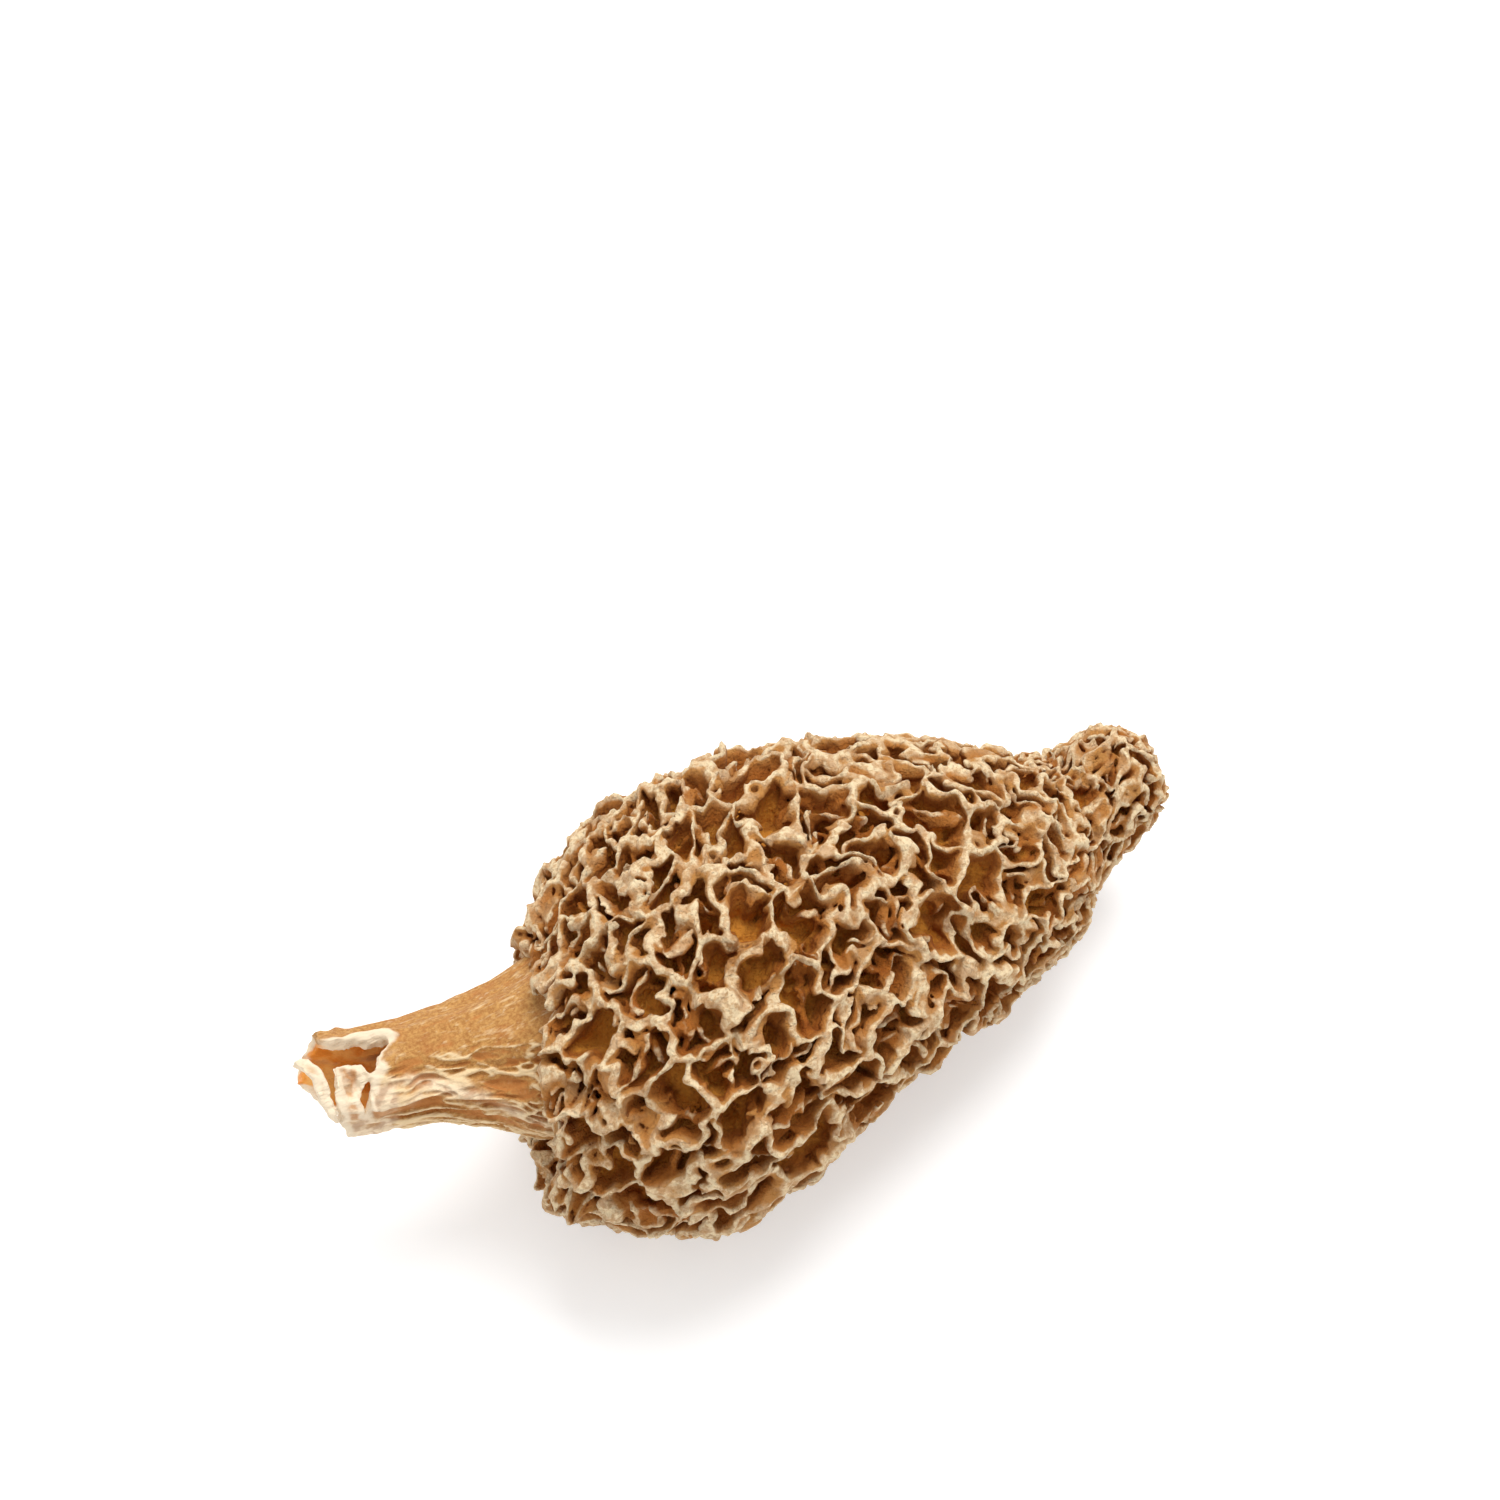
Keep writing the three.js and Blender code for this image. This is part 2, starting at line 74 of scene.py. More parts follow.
NOISE_CELLS, NOISE_GAIN = 32, 1.6  # the noise repeats after this many cells, and its strength
SMALL_STEP, HUGE = 1e-3, 1e9
LAST_CELL = 1.001  # a table is read no nearer to its end than this many cells

# ---- The cap's net (millimetres; rows of noise are strength, size of its features and seed) ----

FULL_PIT = 4.8  # the pit's width that the sizes below are meant for: smaller pits shrink them
PIT_REACH = 13.0  # the pits next to a point are nearer than this along the axis
JITTER = [(0.6, 2.0, 61), (0.3, 0.95, 64), (0.08, 0.5, 67)]  # crumples the course of the ridges
PAIR_SEED, PAIR_FREE, PAIR_DROP = 7, 0.5, 2.8  # a ridge sinks as its random share passes PAIR_FREE
JOINT_LENGTH = 0.9  # and comes back up this near to where ridges meet
CREST_SWELL, CREST_ROUGH = [(0.28, 1.8, 11)], [(0.17, 0.7, 12)]
RIM_ROUGH, RIM_ROUGH_END = [(0.65, 2.3, 22), (0.2, 1.0, 23)], 6.0  # rough crests next to the stem
DEPTH_CHANGE, DEPTH_MORE, DEPTH_FINE = [(0.35, 2.6, 13)], 0.4, 0.8
RIBS = [(1, 1.1, 14), (0.7, 0.5, 15)]  # wrinkles down the walls
BEADS = [(0.8, 1.1, 20), (0.7, 0.45, 21)]  # changes of the crest's thickness
GRAIN_PLAIN, GRAIN_FINE, GRAINS = 0.05, 0.04, [(1, 0.6, 24), (0.8, 0.34, 25)]
SHIFTS_ALONG = [(0.6, 1.7, 16), (0.22, 0.8, 17)]  # lean the walls along the cap
SHIFTS_ROUND = [(0.6, 1.7, 18), (0.22, 0.8, 19)]  # and round it
CURL_FROM, CURL_FULL = -2.2, -0.2  # heights between which walls go from straight to leaning

SPLIT_SEED, SPLIT_SHARES = 23, [0.12, 0.48, 0.4]  # shares of pits in one, two and three parts
SPLIT_REACH, SPLIT_SPREAD, SPLIT_TURN = 0.27, (0.7, 1.2), (0.8, 1.2)
SPLIT_DROPS, SPLIT_DROP_SHARES = [0.1, 0.4, 0.8, 1.3, 1.8], [0.3, 0.25, 0.2, 0.15, 0.1]
SPLIT_CHANGE = [(0.2, 1.6, 32)]
FAR_AWAY = 1e3  # where the seeds of parts that a pit lacks are put

WIDE_FOLDS, CLOSE_FOLDS = [(1, 2.0, 51)], [(1, 1.15, 52)]
WIDE_DROP, WIDE_DROP_CHANGE = 1.9, [(1.2, 2.6, 53)]
CLOSE_DROP, CLOSE_DROP_CHANGE = 0.35, [(0.4, 1.7, 54)]
LEAST_SLOPE = 0.3  # of the mean slope of the folds' noise, where it is flatter than that
FINE_FROM, FINE_FULL = 35.0, 46.0  # where the folds turn fine towards the tip
BASE_FINE_FROM, BASE_FINE_FULL, BASE_FINE = 6.0, 0.0, 0.7  # and round the stem

# ---- The cap's walls and pits (millimetres) ----

WEB = 0.16  # half a ridge wall's thickness under its crest
WALL_SPREAD, WALL_SPREAD_END = 0.05, 2.5  # how fast a wall thickens downwards, and down to where
CREST_BEAD, BEAD_CHANGE, LEAST_BEAD = 0.5, 0.17, 0.26  # radius of the rounded crest
SPLIT_BEAD, FOLD_BEAD = 0.88, 0.7  # the same on the lower ridges and folds, as a share
STRUT, STRUT_FADE = 0.32, 0.8  # how far the wrinkles down the walls stand out, from what depth
STRUT_OFFSET, STRUT_LIMITS = 0.1, (-0.3, 0.9)
WALL_BLEND, CORNER_BLEND, PIT_BLEND = 0.12, 0.7, 0.3
CORNER_ROUND = 1.2  # how far the pits' corners are filled
SHOULDER, SHOULDER_SHARE = 1.2, 0.45  # a pit's depth next to its walls, and at most of its depth
BOWL_SIDE = 0.56  # how far from a ridge's middle the pit reaches its full depth
SPLIT_FILL = 0.5  # a lower ridge fills its pits' sides less, by this share of its drop
CRUMB, CRUMBS = 0.04, [(1, 0.5, 91), (0.7, 0.3, 92)]  # the flesh's small crumbs
RIM_FALL = 1.4  # how much faster the cream fades down a wall than across its crest
MAIN_BRIGHT = 0.1  # how much further the cream reaches on the main ridges
DROP_DULL = 0.3  # and how much less on lower ones
TIP_DULL = 0.05  # how much less of each crest is cream near the tip
LEAST_RADIUS = 1.5  # nearer the axis than this the maps aren't shifted further round

# ---- The stem (millimetres, before ORIGIN is taken off) ----

STEM_LINE = [  # its middle line: (x, y, height above the axis at the cap's base)
    (7, 0.2, -0.5), (3, 0.1, -0.3), (-0.4, 0.1, -0.1), (-3.2, 0.7, 0.1), (-5.9, 1.6, 0.5),
    (-9.8, 2.5, 1.1), (-12.6, 3.0, 1.5), (-15.6, 3.6, 2.0), (-19, 4.3, 2.5),
]
STEM_RADIUS = [
    (7, 7.8), (3, 7.8), (0, 6.9), (-3, 5.9), (-6, 4.8), (-9.5, 4.1), (-12.5, 4.0), (-15.5, 4.2),
    (-19, 4.4),
]
STEM_GROOVES = [(0.035, 5, 0.4, 0.12), (0.03, 9, 2.0, -0.07)]
MOUTH_EDGE = [  # (angle round the stem in degrees, x of the torn end): 0 faces -Y, 90 up
    (-180, -15.6), (-150, -16.8), (-122, -17.8), (-100, -17.0), (-80, -15.9), (-32, -15.8),
    (0, -16.3), (20, -16.9), (45, -17.5), (70, -17.2), (85, -17.9), (93, -18.2), (98, -17.6),
    (112, -16.4), (130, -15.8), (147, -15.3), (180, -15.6),
]
TEARS = [  # outline of the opening torn into the near wall, with two flaps between its slots
    (96, -18.6), (93.5, -17.2), (80, -16.6), (69, -16.45), (45, -16.85), (27, -16.85), (15, -16.6),
    (20, -16.4), (51, -16.1), (76, -15.6), (84, -15.45), (80, -13.7), (68, -13.6), (38, -14.5),
    (20, -14.6), (25, -14.45), (45, -13.8), (62, -13.1), (80, -12.4), (92, -11.9), (100, -11.3),
    (108, -11.2), (111, -13.5), (111, -15.1), (118, -15.7), (130, -16.2), (130, -18.6),
]
TEAR_RAG = [(0.16, 0.9, 44), (0.1, 0.4, 45)]
FLAP_FROM, FLAP_TO, FLAP_EDGE, FLAP_LEAN = -15.9, -13.3, 0.5, 0.55  # the first flap leans inwards
FLAP_LOW, FLAP_FULL, FLAP_HIGH, FLAP_END = 10, 70, 85, 100  # from and to these degrees
SLASH_X, SLASH_SLANT, SLASH_TOP = -14.75, 0.01, 78  # a sunken line down the first flap
SLASH_WIDTH, SLASH_DEPTH, SLASH_FROM, SLASH_TO, SLASH_FADE = 0.24, 0.35, 15, 84, 10
BAND_START, BAND_SLANT, BAND_X, BAND_WIDTH = 57.0, 5.3, -11.2, 9.0  # degrees, degrees per mm
BAND_END, BAND_FADE = -1.0, 3  # the pale band fades out towards the cap
PALE_RAG, PALE_FROM, PALE_FADE = [(1, 1.6, 81), (0.5, 0.7, 82)], -10.5, 3.5
PALE_TOP, PALE_TOP_FULL = 95, 75  # degrees: the flaps' pale zone ends below the top
BAND_FILL, BAND_RAG, FLAP_RAG = 0.7, 0.6, 2
LIP_RADIUS = [  # (angle round the stem in degrees, radius of the torn edge's rolled lip)
    (0, 0.2), (60, 0.26), (80, 0.3), (92, 0.1), (100, 0.12), (107, 0.5), (118, 0.45), (124, 0.12),
]
LIP_PALE = [  # (angle round the stem in degrees, how pale its lip is)
    (0, 1), (70, 1), (88, 0.6), (98, 0.5), (106, 1.1), (118, 1), (124, 0.2),
]
LIP_GROWTH = [(-16.2, 0.15), (-15.4, 0.6), (-14.5, 0.75), (-12.5, 1.15)]  # (x, share of its radius)
LIP_CHANGE, LIP_OUT, LIP_BACK, LIP_BLEND = [(0.4, 1.2, 47)], 0.12, 0.8, 0.2
UPPER_LIP = 97  # degrees past which LIP_GROWTH counts
LIP_FADE = 0.8  # how much further from the torn edge a lip counts as being where it isn't pale
STEM_WALL, HOLLOW_MOST, HOLLOW_END, MOUTH_RADIUS = 0.9, 3.3, 5.0, 4.15
HOLLOW_CHANGE = [(0.15, 1.2, 46)]
STEM_STRETCH = 0.12  # the wrinkles run lengthwise: their noise sees the length as this share
STEM_DRIFT = [(0.3, 2.4, 71)]
WIDE_WRINKLE, FINE_WRINKLE, FINE_SHARE, WRINKLE_LEVEL = [(1, 0.62, 42)], [(1, 0.34, 43)], 0.6, 0.4
WRINKLE_PLAIN, WRINKLE_MORE = 0.03, 0.17  # how far they stand out on the top, and more elsewhere
TOP_FROM, TOP_FULL, TOP_LAST, TOP_END = 58, 85, 175, 200  # degrees between which it is smooth
MOUTH_FROM, MOUTH_FULL = -11.5, -13.5  # towards the torn end: fewer wrinkles and more lumps
MOUTH_CALM, MOUTH_LUMPS = 0.7, [(0.12, 0.7, 48)]
SHOWN_TOP, SHOWN_FINE, SHOWN_SLASH = 0.25, 0.5, 2  # how much of the relief the colours show


# ---- Numbers ----


def along(table, x):
    """The value at x in a table of (x, value), by straight lines."""
    rows = sorted(table)
    return np.interp(x, [r[0] for r in rows], [r[1] for r in rows])


def spline(points, t):
    """Points at t, from 0 to 1, on a uniform Catmull-Rom curve through the given points."""
    p = np.array(points, float)
    last = len(p) - 1
    at = np.asarray(t, float) * last
    i = np.minimum(at.astype(int), last - 1)
    w = (at - i)[..., None]
    p0, p1, p2, p3 = p[np.maximum(i - 1, 0)], p[i], p[i + 1], p[np.minimum(i + 2, last)]
    v0, v1 = (p2 - p0) / 2, (p3 - p1) / 2
    return (2 * p1 - 2 * p2 + v0 + v1) * w**3 + (3 * p2 - 3 * p1 - 2 * v0 - v1) * w**2 + v0 * w + p1


def random_stream(seed):
    """The same repeatable numbers from 0 to 1 that the solid's net is made with."""
    state = seed
    while True:
        state = (state * STREAM_FACTOR + STREAM_STEP) % STREAM_RANGE
        yield state / STREAM_RANGE


def smooth(x):
    """0 up to x = 0, 1 from x = 1, and a smooth step between."""
    x = np.clip(x, 0, 1)
    return x * x * (3 - 2 * x)


def ramp(x, start, full):
    """0 on one side of start, 1 from full on, which may be the lower one, and smooth between."""
    return smooth((x - start) / (full - start))


def waves(p, rate, phase):
    """Slow waves through space, from -1 to 1."""
    x, y, z = p[..., 0], p[..., 1], p[..., 2]
    return (
        np.sin(rate * (x + 0.73 * y + 0.29 * z) + phase)
        + np.sin(rate * (-0.52 * x + 1.07 * y + 0.61 * z) + 2.1 * phase + 1.3)
        + np.sin(rate * (0.31 * x - 0.64 * y + 0.99 * z) + 0.7 * phase + 4.1)
    ) / 3


def noise(p, size, seed):
    """Smooth random values from about -1 to 1 through space, with features of that size."""
    n = NOISE_CELLS
    table = np.random.default_rng(seed).uniform(-1, 1, n**3).astype(np.float32)
    q = (p / size).astype(np.float32)
    cell = np.floor(q).astype(np.int32)
    f = q - cell
    f = f * f * (3 - 2 * f)
    total = 0
    for dx in (0, 1):
        wx = f[..., 0] if dx else 1 - f[..., 0]
        ix = ((cell[..., 0] + dx) % n) * n
        for dy in (0, 1):
            wy = wx * (f[..., 1] if dy else 1 - f[..., 1])
            iy = (ix + (cell[..., 1] + dy) % n) * n
            for dz in (0, 1):
                w = wy * (f[..., 2] if dz else 1 - f[..., 2])
                total = total + w * table[iy + (cell[..., 2] + dz) % n]
    return total * NOISE_GAIN


def layers(p, rows, scale=1):
    """The sum of rows of noise: (strength, size of its features, seed)."""
    return sum(strength * scale * noise(p, size, seed) for strength, size, seed in rows)


def vector_layers(p, rows):
    """The same for each of three directions."""
    directions = [[(strength, size, seed + k) for strength, size, seed in rows] for k in range(3)]
    return np.stack([layers(p, part) for part in directions], -1)


def soft_min(a, b, k):
    """The lesser of a and b, blended over k."""
    h = np.clip(0.5 + 0.5 * (b - a) / k, 0, 1)
    return b + (a - b) * h - k * h * (1 - h)


# ---- The cap's surface on a straight axis ----


def lump_factor(x, angle):
    """The lumps of the cap's outline, as a share of its radius."""
    return 1 + sum(size * np.sin(n * angle + phase + turn * x) for size, n, phase, turn in LUMPS)


def cap_point(t, angle):
    """The surface point at t (0 tip, 1 stem) and an angle round the axis."""
    x, r = np.moveaxis(spline(CAP_PROFILE, t), -1, 0)
    r = np.maximum(0, r) * lump_factor(x, angle)
    return np.stack([x + 0 * angle, r * np.cos(angle), r * np.sin(angle)], -1)


def cap_normal(t, angle):
    """The surface's outward normal there."""
    d = SMALL_STEP
    t = np.clip(t, 2 * d, 1 - 2 * d)
    n = np.cross(
        cap_point(t + d, angle) - cap_point(t - d, angle),
        cap_point(t, angle + d) - cap_point(t, angle - d),
    )
    return n / np.linalg.norm(n, axis=-1, keepdims=True)


def lay(p):
    """Moves points from the straight cap to where it lies, in the row frame."""
    side = BOW_Y * p[:, 1] + BOW_Z * p[:, 2]
    fade = np.clip(1 - p[:, 0] / RIM_SKEW_END, 0, 1) ** 2
    bow = along(CAP_BOW, p[:, 0])
    laid = np.stack(
        [
            p[:, 0] - RIM_SKEW * side * fade,
            p[:, 1] + AXIS_SLOPE_Y * p[:, 0] + BOW_Y * bow,
            p[:, 2] + AXIS_SLOPE_Z * p[:, 0] + BOW_Z * bow + AXIS_HEIGHT,
        ],
        1,
    )
    laid -= ORIGIN
    laid[:, 2] = np.maximum(laid[:, 2], 0)
    return laid


def pit_middles():
    """Each pit's middle and outward normal, as in the solid."""
    t = np.arange(PROFILE_STEPS + 1) / PROFILE_STEPS
    p = spline(CAP_PROFILE, t)
    step = np.linalg.norm(np.diff(p, axis=0), axis=1)
    area = math.pi * (p[1:, 1] + p[:-1, 1]) * step
    cell = math.sqrt(3) / 2 * along(PIT_WIDTH, p[1:, 0]) ** 2
    share = np.concatenate([[0], np.cumsum(area / cell)])
    draw = random_stream(SEED)
    golden = math.pi * (3 - math.sqrt(5))
    places = []
    for k in range(int(share[-1] + 0.5)):
        at = np.argmax(share >= k + 0.5) / PROFILE_STEPS
        here = spline(CAP_PROFILE, at)
        ahead = spline(CAP_PROFILE, min(1, at + SMALL_STEP))
        width = along(PIT_WIDTH, here[0])
        speed = np.linalg.norm(ahead - here) / SMALL_STEP
        place = at + SEED_SCATTER * width * (2 * next(draw) - 1) / speed
        stray = SEED_SCATTER * width * (2 * next(draw) - 1) / max(here[1], width)
        places.append((min(1, max(0, place)), k * golden + stray))
    t, angle = np.array(places).T
    return cap_point(t, angle), cap_normal(t, angle)


def unswept(p, normal):
    """Where points of the swept net were before it was swept sideways, found in two rounds."""
    start = p
    for _ in range(2):
        shift = SWAY * np.stack([waves(start, SWAY_RATE, k) for k in (1, 2, 3)], -1)
        shift -= (shift * normal).sum(-1, keepdims=True) * normal
        start = p - shift
    return start


# ---- Maps over the cap's surface ----

# What the maps hold, in this order: distances from the middles of ridges, lower ridges and folds, how
# far their crests lie down, the pits' depth, and what roughens and leans the walls between them.
CHANNELS = 14
(
    EDGE, ROUND_EDGE, CREST, DEPTH, RIB, BEAD, SIZE,
    SPLIT, SPLIT_DROP, FOLD, FOLD_DROP, GRAIN, SHIFT_T, SHIFT_A,
) = range(CHANNELS)


def pit_net(p, middles):
    """For surface points p (rows x columns x 3): how far each is from the middle of the nearest
    ridge, how much further the next ridge is, and the numbers of the pits on either side."""
    rows, columns = p.shape[:2]
    between = np.linalg.norm(middles[:, None] - middles[None], axis=2) + 1e-6
    edge = np.empty((rows, columns), np.float32)
    gap = np.empty_like(edge)
    own = np.empty((rows, columns), np.int32)
    other = np.empty_like(own)
    at = np.arange(columns)
    for r in range(rows):
        row = p[r]
        near = np.flatnonzero(np.abs(middles[:, 0] - row[:, 0].mean()) < PIT_REACH)
        d = ((row[:, None, :] - middles[near][None]) ** 2).sum(2)
        first = d.argmin(1)
        ahead = (d - d[at, first][:, None]) / (2 * between[near[first]][:, near])
        ahead[at, first] = HUGE
        second = ahead.argmin(1)
        edge[r] = ahead[at, second]
        ahead[at, second] = HUGE
        gap[r] = ahead.min(1) - edge[r]
        own[r], other[r] = near[first], near[second]
    return edge, gap, own, other


def split_ridges(p, own, middles, normals):
    """Lower ridges that part most pits in two or three: how far each point is from the nearest,
    and how far its crest lies under the main ridges'."""
    rng = np.random.default_rng(SPLIT_SEED)
    count = len(middles)
    across = np.cross(normals, rng.normal(size=(count, 3)))
    across /= np.linalg.norm(across, axis=1, keepdims=True)
    along_it = np.cross(normals, across)
    uneven = rng.uniform(*SPLIT_TURN, count)
    width = along(PIT_WIDTH, middles[:, 0])
    parts = rng.choice([1, 2, 3], count, p=SPLIT_SHARES)
    seeds = np.empty((count, 3, 3), np.float32)
    for k in range(3):
        turn = 2 * math.pi * k / np.maximum(parts, 2) * uneven
        reach = SPLIT_REACH * width * rng.uniform(*SPLIT_SPREAD, count)
        place = np.cos(turn)[:, None] * across + np.sin(turn)[:, None] * along_it
        seeds[:, k] = middles + reach[:, None] * place
        seeds[parts <= k, k] = FAR_AWAY
    drops = rng.choice(SPLIT_DROPS, (count, 3), p=SPLIT_DROP_SHARES)
    d = ((p[:, :, None, :] - seeds[own]) ** 2).sum(-1)
    order = np.argsort(d, axis=-1)
    a, b = order[..., 0], order[..., 1]
    d = np.take_along_axis(d, order, -1)
    between = np.linalg.norm(seeds[own, a] - seeds[own, b], axis=-1)
    drop = drops[own, a + b - 1] + layers(p, SPLIT_CHANGE)
    return (d[..., 1] - d[..., 0]) / (2 * between), drop


def from_zero(values, p):
    """About how far each surface point is from the nearest line where the values are 0."""
    down, across = np.gradient(p, axis=0), np.gradient(p, axis=1)
    down = np.gradient(values, axis=0) / (np.linalg.norm(down, axis=-1) + SMALL_STEP)
    across = np.gradient(values, axis=1) / (np.linalg.norm(across, axis=-1) + SMALL_STEP)
    slope = np.hypot(down, across)
    return np.abs(values) / np.maximum(slope, LEAST_SLOPE * slope.mean())


def folds(p, fine):
    """Small folds that run anywhere: distance from the nearest, and its crest's drop. They are
    smaller and higher where fine is 1, near the tip."""
    wide, close = from_zero(layers(p, WIDE_FOLDS), p), from_zero(layers(p, CLOSE_FOLDS), p)
    wide_drop = WIDE_DROP + layers(p, WIDE_DROP_CHANGE)
    close_drop = CLOSE_DROP + layers(p, CLOSE_DROP_CHANGE)
    return wide + (close - wide) * fine, wide_drop + (close_drop - wide_drop) * fine


def cap_maps():
    """Every channel over the whole surface of the straight cap."""
    t = np.linspace(0, 1, MAP_ROWS)
    angle = np.linspace(0, 2 * math.pi, MAP_COLUMNS, endpoint=False)
    t_all, angle_all = np.meshgrid(t, angle, indexing="ij")
    p = cap_point(t_all, angle_all)
    normal = cap_normal(t_all, angle_all)
    middles, normals = pit_middles()
    p, normal = p.astype(np.float32), normal.astype(np.float32)
    start = unswept(p, normal)
    x = p[..., 0]
    size = along(PIT_WIDTH, x).astype(np.float32) / FULL_PIT
    start += size[..., None] * vector_layers(p, JITTER)
    edge, gap, own, other = pit_net(start, middles.astype(np.float32))

    pair = np.random.default_rng(PAIR_SEED).uniform(0, 1, (len(middles), len(middles)))
    pair = (pair + pair.T) / 2
    drop = np.clip(pair[own, other] - PAIR_FREE, 0, 1) * PAIR_DROP
    crest = CREST_RISE * waves(p, CREST_RATE, 5)
    crest -= drop * smooth(gap / (JOINT_LENGTH * size)) * size
    crest += layers(p, CREST_SWELL, size) + layers(p, CREST_ROUGH)
    crest += ramp(x, RIM_ROUGH_END, 0) * layers(p, RIM_ROUGH)
    fine = ramp(x, FINE_FROM, FINE_FULL) + BASE_FINE * ramp(x, BASE_FINE_FROM, BASE_FINE_FULL)
    maps = np.empty((MAP_ROWS, MAP_COLUMNS, CHANNELS), np.float32)
    maps[..., EDGE] = edge
    maps[..., ROUND_EDGE] = soft_min(edge, edge + gap, CORNER_ROUND * size)
    maps[..., CREST] = crest
    depth = along(PIT_DEPTH, x) + layers(p, DEPTH_CHANGE, size)
    maps[..., DEPTH] = depth + DEPTH_MORE + DEPTH_FINE * fine
    maps[..., RIB] = layers(p, RIBS)
    maps[..., BEAD] = layers(p, BEADS)
    maps[..., SIZE] = size
    maps[..., SPLIT], maps[..., SPLIT_DROP] = split_ridges(start, own, middles, normals)
    maps[..., FOLD], maps[..., FOLD_DROP] = folds(p, fine)
    maps[..., GRAIN] = (GRAIN_PLAIN + GRAIN_FINE * fine) * layers(p, GRAINS)
    maps[..., SHIFT_T] = layers(p, SHIFTS_ALONG)
    maps[..., SHIFT_A] = layers(p, SHIFTS_ROUND)
    return maps


def sample(maps, row, column):
    """Map values between four cells. Columns go round and round, rows stop at the ends."""
    row = np.clip(row, 0, MAP_ROWS - LAST_CELL)
    r, c = np.floor(row).astype(np.int32), np.floor(column).astype(np.int32)
    fr, fc = (row - r)[:, None].astype(np.float32), (column - c)[:, None].astype(np.float32)
    c0, c1 = c % MAP_COLUMNS, (c + 1) % MAP_COLUMNS
    flat = maps.reshape(-1, maps.shape[-1])
    low = flat[r * MAP_COLUMNS + c0] * (1 - fc) + flat[r * MAP_COLUMNS + c1] * fc
    r = r + 1
    high = flat[r * MAP_COLUMNS + c0] * (1 - fc) + flat[r * MAP_COLUMNS + c1] * fc
    return low * (1 - fr) + high * fr


def section_table(x, r):
    """For each (x, r) in half a lengthwise section: the nearest profile point's t, and the height
    over it, less than 0 inside."""
    t = np.linspace(0, 1, MAP_ROWS)
    line = spline(CAP_PROFILE, t)
    tangent = np.gradient(line, axis=0)
    tangent /= np.linalg.norm(tangent, axis=1, keepdims=True)
    out = np.stack([tangent[:, 1], -tangent[:, 0]], 1)
    out *= np.sign(out[MAP_ROWS // 3, 1])
    near_t = np.empty((len(x), len(r)), np.float32)
    height = np.empty_like(near_t)
    for i, xi in enumerate(x):
        d = (line[:, 0] - xi)[None] ** 2 + (line[:, 1][None] - r[:, None]) ** 2
        k = d.argmin(1)
        offset = np.stack([xi - line[k, 0], r - line[k, 1]], 1)
        side = np.sign((offset * out[k]).sum(1))
        near_t[i] = t[k]
        height[i] = np.sqrt(d[np.arange(len(r)), k]) * side
    return near_t, height


def surface_of(p, table):
    """Map row, column and height over the cap's surface for points p of the straight cap."""
    (x0, r0, step), near_t, height = table
    rho = np.hypot(p[:, 1], p[:, 2])
    angle = np.arctan2(p[:, 2], p[:, 1]) % (2 * math.pi)
    i = (p[:, 0] - x0) / step
    j = (rho / lump_factor(p[:, 0], angle) - r0) / step
    i = np.clip(i, 0, near_t.shape[0] - LAST_CELL)
    j = np.clip(j, 0, near_t.shape[1] - LAST_CELL)
    a, b = i.astype(np.int32), j.astype(np.int32)
    fi, fj = i - a, j - b

    def mixed(values):
        low = values[a, b] * (1 - fj) + values[a, b + 1] * fj
        high = values[a + 1, b] * (1 - fj) + values[a + 1, b + 1] * fj
        return low * (1 - fi) + high * fi

    return mixed(near_t) * (MAP_ROWS - 1), angle * MAP_COLUMNS / (2 * math.pi), mixed(height), rho


def ridge(edge, under, bead_r, size):
    """A thin wall with a rounded crest: edge is the distance from its middle, under the depth
    under its crest."""
    web = edge - (WEB + WALL_SPREAD * np.clip(under, 0, WALL_SPREAD_END)) * size
    web = np.maximum(web, -under)
    bead = np.hypot(edge, bead_r - under) - bead_r
    return soft_min(web, bead, WALL_BLEND)


